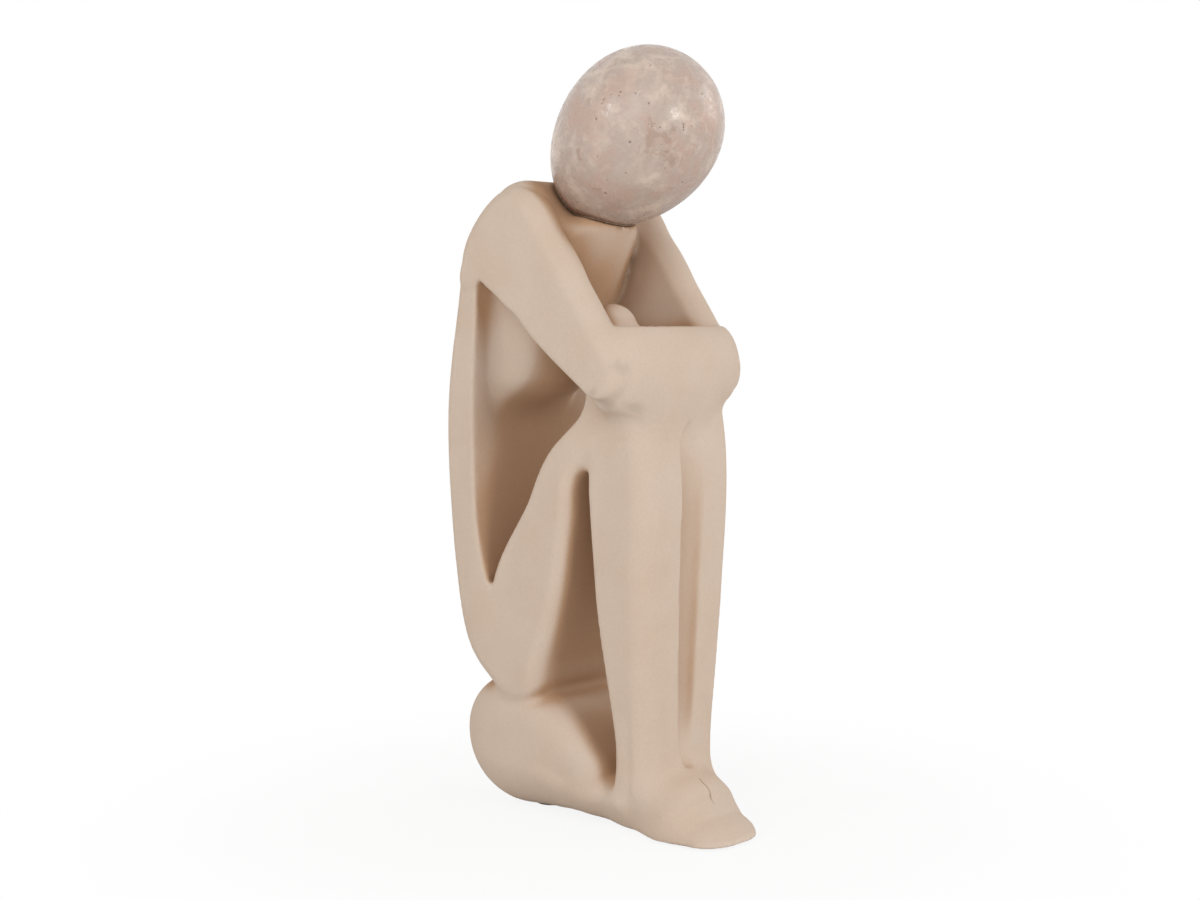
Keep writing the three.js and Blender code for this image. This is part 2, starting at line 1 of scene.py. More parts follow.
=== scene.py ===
# %% [markdown]
# # A stone figurine that hugs its knees
#
# The real object is a small carving: one block of pale soapstone for the body, and a polished stone
# egg for the head. The CAD model that this lesson starts from has every piece in its true place and
# size, but its skin is coarse. Here the same forms are carved again with a fine skin, the egg is made
# with its pits, and every piece gets the finish of the real stone, steel, resin and felt.

# %% Load the frame and keep its box
import json
import math
import bmesh
import bpy
import numpy as np
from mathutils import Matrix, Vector

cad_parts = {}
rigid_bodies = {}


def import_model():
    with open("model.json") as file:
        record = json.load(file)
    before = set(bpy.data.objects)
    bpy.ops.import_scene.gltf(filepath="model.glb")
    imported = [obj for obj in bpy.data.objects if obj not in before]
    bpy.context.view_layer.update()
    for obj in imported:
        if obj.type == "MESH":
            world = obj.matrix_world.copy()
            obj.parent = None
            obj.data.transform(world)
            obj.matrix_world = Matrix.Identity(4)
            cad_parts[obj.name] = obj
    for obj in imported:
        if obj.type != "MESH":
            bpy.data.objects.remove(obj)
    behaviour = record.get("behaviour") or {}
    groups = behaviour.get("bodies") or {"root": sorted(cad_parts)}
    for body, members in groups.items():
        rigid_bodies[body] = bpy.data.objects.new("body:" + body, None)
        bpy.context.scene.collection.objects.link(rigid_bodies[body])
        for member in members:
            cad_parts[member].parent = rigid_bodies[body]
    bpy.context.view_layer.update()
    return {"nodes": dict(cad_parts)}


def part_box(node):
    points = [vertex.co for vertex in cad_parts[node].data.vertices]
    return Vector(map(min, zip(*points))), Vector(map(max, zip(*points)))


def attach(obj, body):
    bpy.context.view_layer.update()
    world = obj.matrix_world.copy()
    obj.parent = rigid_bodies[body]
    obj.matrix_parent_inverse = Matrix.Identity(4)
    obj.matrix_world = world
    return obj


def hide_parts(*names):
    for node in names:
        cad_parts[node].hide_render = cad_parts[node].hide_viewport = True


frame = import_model()

# %% [markdown]
# ## A ruler in millimetres
#
# Blender works in metres and a carver thinks in millimetres, so the forms are written in millimetres
# and turned into metres at the very end. The CAD model was also slid along Y to stand over its own
# middle. The felt pad under the seat shows by how much, because its own place was a round number.

# %% The ruler, and how far the model was slid
MM = 0.001
SEAT_PAD_BACK = 26
pad_low, pad_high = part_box("felt_pad_seat")
slide = (pad_low[1] + pad_high[1]) / 2 / MM - SEAT_PAD_BACK
print("slid by", round(slide, 3), "mm along Y")

# %% [markdown]
# ## A smooth curve through a few stations
#
# A limb has a path, and it grows thicker and thinner along it. Both are drawn with the same tool: a
# curve that passes through a few given rows of numbers. The centripetal kind is used because it never
# loops between two stations that lie close together.

# %% The curve
def smooth_curve(stations, shares):
    rows = np.asarray(stations, float)
    rows = np.vstack([2 * rows[0] - rows[1], rows, 2 * rows[-1] - rows[-2]])
    spans = len(rows) - 3
    where = np.asarray(shares) * spans
    first = np.minimum(where.astype(int), spans - 1)
    t = (where - first)[:, None]
    a, b, c, d = (rows[first + n] for n in range(4))
    gaps = [np.sum((v - u) ** 2, 1)[:, None] ** 0.25 for u, v in ((a, b), (b, c), (c, d))]
    middle = np.where(gaps[1] < 1e-4, 1.0, gaps[1])
    before, after = (np.where(gap < 1e-4, middle, gap) for gap in (gaps[0], gaps[2]))
    leave = ((b - a) / before - (c - a) / (before + middle) + (c - b) / middle) * middle
    arrive = ((c - b) / middle - (d - b) / (middle + after) + (d - c) / after) * middle
    return b + leave * t + (3 * (c - b) - 2 * leave - arrive) * t**2 + (2 * (b - c) + leave + arrive) * t**3


print("middle of a test curve:", smooth_curve([[0, 0], [1, 1], [2, 0]], [0.5]))

# %% [markdown]
# ## Flat-sided limbs, drawn from the side
#
# A carver starts this figure by drawing its side view on a slab and sawing round it. The script does
# the same. Each limb is a round brush drawn along a curve in the side view, and at each station it
# says how deep the brush is, how wide the slab is there to each side of the middle, how round its left
# and its right edge are, and how steeply its right side falls away towards the middle. What counts for
# a point is its distance to the outline, negative inside.

# %% Brushes along a limb, and what a point sees of them
LIMB_STEPS = 48


def side_limb(*stations):
    shares = np.linspace(0, 1, LIMB_STEPS + 1)
    rows = np.array([s if len(s) == 7 else (*s, 0) for s in stations], float)
    path = smooth_curve(rows[:, :2], shares)
    girth = smooth_curve(rows[:, [2, 3, 6]], shares)
    edges = smooth_curve(rows[:, 4:6], shares)
    return np.hstack([path, girth, edges])


def smooth_step(value, low, high):
    share = np.clip((value - low) / (high - low), 0, 1)
    return share**2 * (3 - 2 * share)


def seen_from_side(limb, y, z):
    depth = np.full(y.shape, np.inf)
    wide, edge, drop = (np.zeros(y.shape) for _ in range(3))
    for start, end in zip(limb[:-1], limb[1:]):
        run = end - start
        v, w = y - start[0], z - start[1]
        share = np.clip((v * run[0] + w * run[1]) / (run[0] ** 2 + run[1] ** 2), 0, 1)
        deep, wider, falls, left, right = (start[n] + run[n] * share for n in range(2, 7))
        away = np.hypot(v - share * run[0], w - share * run[1]) - deep
        to_left = smooth_step((run[0] * w - run[1] * v) / math.hypot(run[0], run[1]), -deep, deep)
        nearer = away < depth
        depth = np.where(nearer, away, depth)
        wide = np.where(nearer, wider, wide)
        edge = np.where(nearer, right + (left - right) * to_left, edge)
        drop = np.where(nearer, falls * (1 - to_left), drop)
    return depth, wide, edge, drop


# %% [markdown]
# ## Running forms into one another
#
# Where an arm meets a chest, a carver leaves a small hollow rather than a sharp line. A smooth minimum
# of two distances does that, and the same rule with its sign turned cuts a groove with soft lips.
# Two slabs that run into one another also share their widths, so that their sides stay flush.

# %% Joins, cuts and edges
WIDTH_BLEND = 20


def join(first, second, hollow):
    close = np.maximum(hollow - np.abs(first - second), 0) / hollow
    return np.minimum(first, second) - close**2 * hollow / 4


def cut(stone, tool, lip):
    return -join(-stone, tool, lip)


def edged(first, second, radius):
    a, b = first + radius, second + radius
    return np.hypot(np.maximum(a, 0), np.maximum(b, 0)) + np.minimum(np.maximum(a, b), 0) - radius


def join_sides(first, second, hollow):
    share = smooth_step(second[0] - first[0], -WIDTH_BLEND, WIDTH_BLEND)
    mixed = [b + (a - b) * share for a, b in zip(first[1:], second[1:])]
    return (join(first[0], second[0], hollow), *mixed)


def slab(side, x):
    return edged(side[0], np.abs(x) - side[1], side[2])


# %% [markdown]
# ## The figure's limbs
#
# These are the stations of the side view, in millimetres: how far back, how high, how deep, how wide,
# how round the left and the right edge and, for the arms, how steeply the side falls away. The back is
# one thin plate, the thighs and shins are two more that meet at the knees, and the arms are a slab that
# is sawn hollow. The edges round the open windows are crisp, as the drill and the rasp left them, while
# the outer edges are rubbed by every hand that holds the piece. The front edge of the near shin is
# rubbed so much that it can hardly be seen as an edge.

# %% Back and legs as side views
WINDOW_EDGE, TORSO_EDGE, HIP_EDGE, SHIN_EDGE = 1.4, 3.5, 7, 5
BACK_EDGES, THIGH_EDGES = (TORSO_EDGE, WINDOW_EDGE), (HIP_EDGE, WINDOW_EDGE)
SHIN_EDGES = (WINDOW_EDGE, SHIN_EDGE)
SIT = (24, 58.5, 14, 26.5, HIP_EDGE, HIP_EDGE)
KNEE_TOP = (-28, 178, 13, 24, SHIN_EDGE, SHIN_EDGE)

torso = side_limb(
    (35.5, 212, 5.3, 37.5, *BACK_EDGES),
    (43.9, 160, 7.9, 34.5, *BACK_EDGES),
    (46.9, 105, 8.1, 28.5, *BACK_EDGES),
    (38.2, 69.5, 12.3, 27, *THIGH_EDGES),
    SIT,
)
thighs = side_limb(
    SIT,
    (17, 88, 17.2, 26, *THIGH_EDGES),
    (5.3, 118, 11.8, 26, *THIGH_EDGES),
    (-1.8, 138.5, 8.2, 26, *THIGH_EDGES),
    (-19, 157, 8, 24, *THIGH_EDGES),
    KNEE_TOP,
)
shins = side_limb(
    KNEE_TOP,
    (-30.6, 140, 16.2, 24, *SHIN_EDGES),
    (-31.5, 87, 13.7, 22.6, *SHIN_EDGES),
    (-33.8, 35, 9.1, 19.5, *SHIN_EDGES),
    (-33.8, 18.2, 9.1, 19.5, *SHIN_EDGES),
)
NEAR_SHIN_ROUND, NEAR_SHIN_FROM, NEAR_SHIN_TO = 8, -26, -33


def rubbed_shin(x, y):
    return np.where(x < 0, NEAR_SHIN_ROUND * smooth_step(-y, -NEAR_SHIN_FROM, -NEAR_SHIN_TO), 0)


# %% Nape, shoulders, arms and seat as side views
ARM_WIDE, ARM_INSIDE, ARM_RIDGE, ARM_INNER_EDGE = 39, 24.5, 33, 3
ARM_EDGE, ARM_DROP, SEAT_TOP_EDGE, SEAT_UNDER_EDGE = 12, 0.6, 15, 26
SLEEVE = (ARM_WIDE, WINDOW_EDGE, ARM_EDGE, ARM_DROP)
UPPER_ARM = (3.6, 215.2, 18.4, *SLEEVE)

nape = side_limb(
    (21, 211, 13, 30, ARM_EDGE, ARM_EDGE),
    (30, 225.5, 9.5, ARM_INSIDE, ARM_EDGE, ARM_EDGE),
    (21, 233.5, 15.8, 31, ARM_EDGE, ARM_EDGE),
)
shoulders = side_limb(
    (35.5, 212, 5.3, 37.5, WINDOW_EDGE, TORSO_EDGE),
    (30, 225.5, 9.5, ARM_WIDE, WINDOW_EDGE, ARM_EDGE),
    (13, 231.5, 16.2, *SLEEVE),
    UPPER_ARM,
)
arms = side_limb(
    (26, 221, 11.5, *SLEEVE),
    UPPER_ARM,
    (-10.6, 199.5, 16.5, *SLEEVE),
    (-32.6, 176.8, 11.3, *SLEEVE),
)
seat = side_limb(
    (-2, 18, 17, 23, SEAT_TOP_EDGE - 6, SEAT_UNDER_EDGE - 6),
    (13, 24, 23.8, 26, SEAT_TOP_EDGE - 3, SEAT_UNDER_EDGE),
    (32.5, 26.3, 27.3, 26, SEAT_TOP_EDGE, SEAT_UNDER_EDGE),
)
LIMB_BLEND, WIDE_BLEND, CREASE_BLEND = 6, 10, 3


def side_views(y, z):
    legs = join_sides(seen_from_side(thighs, y, z), seen_from_side(shins, y, z), LIMB_BLEND)
    return {
        "core": join_sides(seen_from_side(torso, y, z), legs, CREASE_BLEND),
        "nape": seen_from_side(nape, y, z),
        "arms": join_sides(seen_from_side(shoulders, y, z), seen_from_side(arms, y, z), CREASE_BLEND),
        "seat": seen_from_side(seat, y, z),
    }


print("widest brush of the back:", round(float(torso[:, 3].max()), 1), "mm to each side")

# %% [markdown]
# ## Soft bars
#
# The folded forearms, the feet and the shallow flute down the shins are not flat-sided. Each is a bar
# with a softly squared section that runs along a curve in space. A station says where the bar is, how
# wide and how deep it is to each side of the curve and, at a blunt end, how long. The distance to such
# a section is its own formula divided by its slope, which is right close to the skin.

# %% A soft bar and its distance
UP, ACROSS = np.array([0.0, 0.0, 1.0]), np.array([1.0, 0.0, 0.0])
FAR_AWAY = 50.0


def unit(rows):
    return rows / np.linalg.norm(rows, axis=1)[:, None]


def soft_bar(stations, side, power):
    shares = np.linspace(0, 1, LIMB_STEPS + 1)
    places = [s[:3] for s in stations]
    path = smooth_curve(places, shares)
    girth = smooth_curve([s[3:] if len(s) == 6 else (*s[3:], min(s[3:])) for s in stations], shares)
    nudge = 1e-4
    behind, ahead = (smooth_curve(places, np.clip(shares + step, 0, 1)) for step in (-nudge, nudge))
    along = unit(ahead - behind)
    most = girth.max() + WIDE_BLEND + 2
    return {
        "path": path, "girth": girth, "along": along, "side": side, "power": power,
        "low": path.min(0) - most, "high": path.max(0) + most,
    }


def bar_distance(bar, points):
    result = np.full(len(points), FAR_AWAY)
    close = np.all((points > bar["low"]) & (points < bar["high"]), axis=1)
    if not close.any():
        return result
    p, path = points[close], bar["path"]
    best, which, share = np.full(len(p), np.inf), np.zeros(len(p), int), np.zeros(len(p))
    for n, (start, end) in enumerate(zip(path[:-1], path[1:])):
        run, off = end - start, p - start
        s = np.clip(off @ run / (run @ run), 0, 1)
        gap = np.sum((off - s[:, None] * run) ** 2, axis=1)
        nearer = gap < best
        best = np.where(nearer, gap, best)
        which = np.where(nearer, n, which)
        share = np.where(nearer, s, share)
    mix = lambda rows: rows[which] + (rows[which + 1] - rows[which]) * share[:, None]
    off, along, girth = p - mix(path), unit(mix(bar["along"])), mix(bar["girth"])
    across = unit(bar["side"] - along * (along @ bar["side"])[:, None])
    deep = np.cross(along, across)
    a, b, c = girth.T
    u, v, w = (np.abs(np.sum(off * way, axis=1)) / size for way, size in ((across, a), (deep, b), (along, c)))
    power = bar["power"]
    q = np.maximum((u**power + v**power + w**power) ** (1 / power), 1e-9)
    rise = power - 1
    slope = np.sqrt(((u / q) ** rise / a) ** 2 + ((v / q) ** rise / b) ** 2 + ((w / q) ** rise / c) ** 2)
    result[close] = np.maximum((q - 1) / slope, -np.minimum(a, b))
    return result


# %% [markdown]
# ## Forearms, feet and flute
#
# The two forearms are one bar bent round the shins in a squarish bow. The feet are one form too, with
# a flute above them that parts the shins. The gouge was held aslant, so the flute's near wall is steep
# and deep, and its far side runs out in a shallow slope. The leaning side direction does the same.

# %% The bars of this figure
BAND_BACK, BAND_HEIGHT, BAND_WIDE, BAND_DEEP, BAND_ROUND = -30, 178, 31, 15, 2.4
BAND_TALL, BAND_THICK = 15, 7.4


def on_band(turn):
    x = -math.copysign(abs(math.cos(turn)) ** (2 / BAND_ROUND), math.cos(turn)) * BAND_WIDE
    y = BAND_BACK - max(math.sin(turn), 0) ** (2 / BAND_ROUND) * BAND_DEEP
    return (x, y, BAND_HEIGHT, BAND_TALL, BAND_THICK)


SOFT_POWER, BAND_POWER = 2.4, 1.7
band = soft_bar([on_band(math.pi * n / 8) for n in range(9)], UP, BAND_POWER)
feet = soft_bar(
    [
        (0, -31, 10, 15.5, 14),
        (0, -46, 7, 20, 15.6),
        (0, -52, 4.6, 19.2, 12.2),
        (0, -58, 2.5, 17.5, 7.8, 13.5),
    ],
    ACROSS,
    SOFT_POWER,
)
FLUTE_X, FLUTE_WIDE, FLUTE_DEEP, FLUTE_LIP, GOUGE_LEAN = 0.4, 6.5, 3.4, 1.4, math.radians(18)
flute = soft_bar(
    [
        (FLUTE_X, -48.6, 168, FLUTE_WIDE * 0.5, FLUTE_DEEP * 0.3),
        (FLUTE_X, -47.2, 142, FLUTE_WIDE, FLUTE_DEEP * 0.8),
        (FLUTE_X, -44.7, 87, FLUTE_WIDE * 0.8, FLUTE_DEEP),
        (FLUTE_X + 0.4, -43.2, 45, FLUTE_WIDE * 0.58, FLUTE_DEEP * 0.85),
        (FLUTE_X + 0.4, -44.6, 27, FLUTE_WIDE * 0.3, FLUTE_DEEP * 0.35),
    ],
    np.array([math.cos(GOUGE_LEAN), -math.sin(GOUGE_LEAN), 0]),
    SOFT_POWER,
)
print("bars:", len((band, feet, flute)), "with", LIMB_STEPS, "steps each")

# %% [markdown]
# ## The chest under the head
#
# Below the head the chest comes forward in a wedge, like the bow of a boat. Its ridge is blunt and
# leans back as it runs down. Its flanks spread with the distance from the ridge and fall away steeply
# at the end, which leaves a shaded channel along the back. The whole wedge ends in a soft underside,
# above the hollow between chest and thighs.

# %% The chest wedge
RIDGE_TOP, RIDGE_FOOT, RIDGE_ROUND = (-13, 229), (20, 156), 14
FLANK_SLOPE, FLANK_TURN_HEIGHT, FLANK_TURN, FLANK_BREAK, FLANK_FALL = 0.95, 172, 0.03, 17, 0.15
UNDERSIDE, UNDERSIDE_ROUND = 162, 10
WEDGE_TOP, WEDGE_TOP_SLOPE, WEDGE_TOP_ROUND, WEDGE_WIDE, WEDGE_EDGE = 237.5, 0.45, 7, 31, 5
WEDGE_BACK_TOP, WEDGE_BACK_FOOT, WEDGE_SET_IN = 32, 45, 1.2


def chest_wedge(x, y, z, back_wide):
    back, drop = RIDGE_FOOT[0] - RIDGE_TOP[0], RIDGE_TOP[1] - RIDGE_FOOT[1]
    run = math.hypot(back, drop)
    ahead = (RIDGE_TOP[0] - y) * drop / run + (RIDGE_TOP[1] - z) * back / run
    aside = np.hypot(x, RIDGE_ROUND) - RIDGE_ROUND + FLANK_FALL * np.maximum(np.abs(x) - FLANK_BREAK, 0) ** 2
    slope = FLANK_SLOPE + FLANK_TURN * np.maximum(FLANK_TURN_HEIGHT - z, 0)
    flank = (ahead + slope * aside) / np.hypot(1, slope)
    top = z - WEDGE_TOP + WEDGE_TOP_SLOPE * aside
    behind = WEDGE_BACK_TOP + (RIDGE_TOP[1] - z) / drop * (WEDGE_BACK_FOOT - WEDGE_BACK_TOP)
    wide = np.maximum(WEDGE_WIDE, back_wide - WEDGE_SET_IN)
    side = edged(np.abs(x) - wide, y - behind, WEDGE_EDGE)
    wedge = edged(edged(flank, top, WEDGE_TOP_ROUND), UNDERSIDE - z, UNDERSIDE_ROUND)
    return edged(wedge, side, WEDGE_EDGE)


# %% [markdown]
# ## The egg and its seat
#
# The head is an egg with its blunt end up, leaning well forward. It sits in a shallow dish cut into
# the neck, on a bed of resin, and a steel pin holds it. The dish is cut with the egg's own form grown
# by the thickness of the resin, so the thin dark line round the neck comes by itself.

# %% Where the egg lies
EGG_LENGTH, EGG_WIDTH, EGG_FULLNESS, EGG_LEAN = 77, 60.6, 0.11, math.radians(51)
NECK_BACK, NECK_HEIGHT, SEAT_TURN = 1.7, 232.5, math.radians(27)
RESIN_THICK, PIN_PLAY, PIN_RADIUS, PIN_HALF = 0.3, 0.3, 3, 15


def leaned(y, z):
    return y * math.cos(EGG_LEAN) - z * math.sin(EGG_LEAN), y * math.sin(EGG_LEAN) + z * math.cos(EGG_LEAN)


seat_wide = EGG_WIDTH / 2 * math.sin(SEAT_TURN) * (1 - EGG_FULLNESS * math.cos(SEAT_TURN))
seat_y, seat_z = leaned(-seat_wide, -EGG_LENGTH / 2 * math.cos(SEAT_TURN))
EGG_Y, EGG_Z = NECK_BACK - seat_y, NECK_HEIGHT - seat_z
pin_way = np.array([0, -seat_y, -seat_z]) / math.hypot(seat_y, seat_z)
print("middle of the egg:", round(EGG_Y, 2), round(EGG_Z, 2))


def egg_distance(x, y, z):
    v, w = y - EGG_Y, z - EGG_Z
    up = -v * math.sin(EGG_LEAN) + w * math.cos(EGG_LEAN)
    out = np.hypot(x, v * math.cos(EGG_LEAN) + w * math.sin(EGG_LEAN))
    half = EGG_LENGTH / 2
    wide = EGG_WIDTH / 2 * (1 + EGG_FULLNESS * np.clip(up / half, -1, 1))
    q = np.hypot(out / wide, up / half)
    return q * (q - 1) / np.maximum(np.hypot(out / wide**2, up / half**2), 1e-9)


def pin_distance(x, y, z):
    off = np.stack([x, y - NECK_BACK, z - NECK_HEIGHT], axis=-1)
    along = off @ pin_way
    out = np.linalg.norm(off - along[..., None] * pin_way, axis=-1)
    return np.maximum(out - PIN_RADIUS, np.abs(along) - PIN_HALF)


# %% [markdown]
# ## The whole carving as one distance
#
# Now the forms are put together: the slab of back and legs, the kneecap, feet and flute, the forearms,
# the chest and nape, the upper arms, and the seat under it all. Some joins turn from soft to crisp on
# their way: the near forearm sinks into the shin below it but parts from the knee above with a line,
# the chest runs softly into the arms close to the neck, and the seat runs into the heels near the
# ground only. Last come the sides of the block, the saw cut of the base, the dish for the egg and the
# hole for the pin.

# %% The carving
KNEECAP, KNEECAP_RADIUS = (-13.5, -18.5, 191.8), 9.6
CHEST_BLEND, CHEST_HEIGHTS, CHEST_FRONTS = 10, (200, 214), (-12, -2)
BAND_BLEND, FAR_BAND_BLEND, BAND_MIDDLE, BAND_HEIGHTS = 15, 4, (5, 20), (170, 184)
HEEL_BLEND, HEEL_HEIGHTS = 20, (10, 24)
BASE_HEIGHT, BASE_EDGE = 1.0, 0.6
BLOCK_HALF, BLOCK_EDGE, DISH_EDGE = 39.2, 1.5, 1.2


def between(first, second, value, ends):
    return first + (second - first) * smooth_step(value, *ends)


def uncut(x, y, z, views):
    points = np.stack([x, y, z], axis=-1)
    depth, wide, edge, _ = views["core"]
    lower = slab((depth, wide, edge + rubbed_shin(x, y)), x)
    kneecap = np.linalg.norm(points - np.array(KNEECAP), axis=-1) - KNEECAP_RADIUS
    lower = join(lower, kneecap, CREASE_BLEND)
    lower = join(lower, bar_distance(feet, points), WIDE_BLEND)
    lower = cut(lower, bar_distance(flute, points), FLUTE_LIP)
    side = views["arms"]
    inner = (side[0] + side[3] * (ARM_RIDGE - np.abs(x))) / np.hypot(1, side[3])
    arm = edged(edged(slab(side, x), inner, ARM_INNER_EDGE), ARM_INSIDE - np.abs(x), ARM_INNER_EDGE)
    band_hollow = between(BAND_BLEND, FAR_BAND_BLEND, x, BAND_MIDDLE)
    band_hollow = between(band_hollow, CREASE_BLEND, z, BAND_HEIGHTS)
    lower = join(lower, bar_distance(band, points), band_hollow)
    trunk = join(slab(views["nape"], x), chest_wedge(x, y, z, views["core"][1]), LIMB_BLEND)
    trunk = join(trunk, lower, WIDE_BLEND)
    chest_hollow = between(CREASE_BLEND, CHEST_BLEND, z, CHEST_HEIGHTS)
    chest_hollow = between(CREASE_BLEND, chest_hollow, -y, CHEST_FRONTS)
    trunk = np.minimum(join(trunk, arm, chest_hollow), arm)
    heel_hollow = between(HEEL_BLEND, CREASE_BLEND, z, HEEL_HEIGHTS)
    stone = join(trunk, slab(views["seat"], x), heel_hollow)
    stone = edged(stone, np.abs(x) - BLOCK_HALF, BLOCK_EDGE)
    return edged(stone, BASE_HEIGHT - z, BASE_EDGE)


def carving(x, y, z, views):
    stone = edged(uncut(x, y, z, views), RESIN_THICK - egg_distance(x, y, z), DISH_EDGE)
    return np.maximum(stone, PIN_PLAY - pin_distance(x, y, z))


# %% [markdown]
# ## From a distance to a skin
#
# The distance is measured on a fine grid of points. Wherever two neighbours lie on different sides of
# the skin, the skin passes between them. Each grid cell that the skin passes through gets one vertex
# in the middle of its crossings, and four such cells round a crossed grid line give one quad. That is
# the method called surface nets, and it gives even quads that take a soft finish well.

# %% Measure the grid
CELL = 1.15
low = np.array([-44.0, -72.0, -1.0])
high = np.array([44.0, 66.0, 252.0])
counts = np.ceil((high - low) / CELL).astype(int)
axes = [low[n] + CELL * np.arange(counts[n]) for n in range(3)]
grid_y, grid_z = (values.ravel() for values in np.meshgrid(axes[1], axes[2], indexing="ij"))
grid_views = side_views(grid_y, grid_z)
sheets = [carving(np.full(grid_y.shape, x), grid_y, grid_z, grid_views) for x in axes[0]]
value = np.stack(sheets).reshape(counts)
print("grid of", counts.tolist(), "points,", int((value < 0).sum()), "of them in the stone")

# %% Surface nets
def surface_nets(value, origin, cell):
    inside = value < 0
    hits = np.zeros([n - 1 for n in value.shape])
    sums = np.zeros((*hits.shape, 3))
    faces, crossings = [], []
    for axis in range(3):
        near = [slice(None)] * 3
        away = [slice(None)] * 3
        near[axis], away[axis] = slice(0, -1), slice(1, None)
        a, b = value[tuple(near)], value[tuple(away)]
        crossed = inside[tuple(near)] != inside[tuple(away)]
        share = np.where(crossed, a / np.where(crossed, a - b, 1), 0)
        place = [np.broadcast_to(g, a.shape).astype(float) for g in np.ogrid[tuple(map(slice, a.shape))]]
        place[axis] = place[axis] + share
        others = [n for n in range(3) if n != axis]
        for steps in np.ndindex(2, 2):
            from_grid, to_cell = [slice(None)] * 3, [slice(None)] * 3
            for n, step in zip(others, steps):
                size = value.shape[n]
                from_grid[n] = slice(step, size - 1 + step)
                to_cell[n] = slice(0, size - 1)
            picked = crossed[tuple(from_grid)]
            hits[tuple(to_cell)] += picked
            for n in range(3):
                sums[tuple(to_cell) + (n,)] += np.where(picked, place[n][tuple(from_grid)], 0)
        crossings.append((axis, others, crossed))
    used = hits > 0
    number = np.full(hits.shape, -1)
    number[used] = np.arange(int(used.sum()))
    points = sums[used] / hits[used][:, None] * cell + origin
    for axis, others, crossed in crossings:
        where = np.argwhere(crossed)
        inner = [(where[:, n] > 0) & (where[:, n] < value.shape[n] - 1) for n in others]
        where = where[np.all(inner, axis=0)]
        ring = []
        for s, t in ((0, 0), (1, 0), (1, 1), (0, 1)):
            home = where.copy()
            home[:, others[0]] -= s
            home[:, others[1]] -= t
            ring.append(number[tuple(home.T)])
        quad = np.stack(ring, axis=1)
        leaving = inside[tuple(where.T)]
        turned = leaving if axis != 1 else ~leaving
        quad[~turned] = quad[~turned][:, ::-1]
        faces.append(quad)
    return points, np.vstack(faces)


skin, quads = surface_nets(value, low, CELL)
print("skin of", len(skin), "vertices and", len(quads), "quads")

# %% [markdown]
# ## Draw the skin tight
#
# The vertices lie within a fraction of a cell of the true skin. Two steps along the slope of the
# distance put them on it, so that edges are crisp and flats are flat. The slope also tells which way
# is out of the stone.

# %% Step each vertex onto the skin
def measured(points):
    x, y, z = points.T
    return carving(x, y, z, side_views(y, z))


def slope_at(points, here):
    nudge = 0.05
    return np.stack([(measured(points + nudge * way) - here) / nudge for way in np.eye(3)], axis=1)


for _ in range(2):
    here = measured(skin)
    slope = slope_at(skin, here)
    step = np.clip(here / np.maximum(np.sum(slope**2, axis=1), 0.2), -CELL / 2, CELL / 2)
    skin -= slope * step[:, None]
outward = slope / np.maximum(np.linalg.norm(slope, axis=1), 1e-9)[:, None]
print("skin from", skin.min(0).round(2).tolist(), "to", skin.max(0).round(2).tolist())

# %% [markdown]
# ## The marks of the hand
#
# A rubbed stone is never quite even. A slow noise pushes the skin in by a tenth of a millimetre or
# two, which shows in the way light slides over the flats. It only ever goes inwards, because the CAD
# model's box is the size of the real thing.

# %% A repeatable noise, and the hand-rubbed skin
def lattice_noise(points, size, seed):
    table = np.random.default_rng(seed).random(4096)
    scaled = points / size
    base = np.floor(scaled).astype(int)
    t = scaled - base
    t = t * t * (3 - 2 * t)
    total = np.zeros(len(points))
    for corner in np.ndindex(2, 2, 2):
        at = base + corner
        pick = table[(at[:, 0] * 73 + at[:, 1] * 179 + at[:, 2] * 283) % len(table)]
        total += pick * np.prod(np.where(corner, t, 1 - t), axis=1)
    return total


BROAD_RUB, BROAD_SIZE, FINE_RUB, FINE_SIZE = 0.2, 15.0, 0.06, 5.0
rubbed = BROAD_RUB * lattice_noise(skin, BROAD_SIZE, 5) + FINE_RUB * lattice_noise(skin, FINE_SIZE, 6)
rubbed[skin[:, 2] < BASE_HEIGHT + 0.05] = 0
print("rubbed in by up to", round(float(rubbed.max()), 2), "mm")

# %% [markdown]
# ## Painted shade in the hollows
#
# The finish paints shade into the stone: the more closed-in a place is, the browner and darker it is
# coloured, in place of the shade that falls there. How closed-in a place is can be read from the
# distance itself: on an open face, a point some way off the skin is just that far from the stone, and
# in a hollow it is nearer. In the same way, a point below a crisp edge is less deep in the stone than a
# point below a flat, and that tells where the edge is worn pale. Deep inside the upper window the
# painted shade is stronger, and on the inner side of the far arm it is weaker, so that this face looks
# lit. All these numbers are evened out a little between neighbours and kept on the mesh by name, for
# the finish to use.

# %% How closed-in each place is, and how much of an edge
def closeness(points, reaches):
    total = np.zeros(len(points))
    for reach in reaches:
        off = points + outward * reach
        total += np.clip(1 - np.minimum(measured(off), egg_distance(*off.T)) / reach, 0, 1)
    return total / len(reaches)


def evened(numbers, rounds):
    ends = np.vstack([quads[:, [n, (n + 1) % 4]] for n in range(4)])
    around = np.bincount(ends.ravel(), minlength=len(numbers))
    for _ in range(rounds):
        sums = np.bincount(ends[:, 0], numbers[ends[:, 1]], len(numbers))
        sums += np.bincount(ends[:, 1], numbers[ends[:, 0]], len(numbers))
        numbers = (numbers + sums / np.maximum(around, 1)) / 2
    return numbers


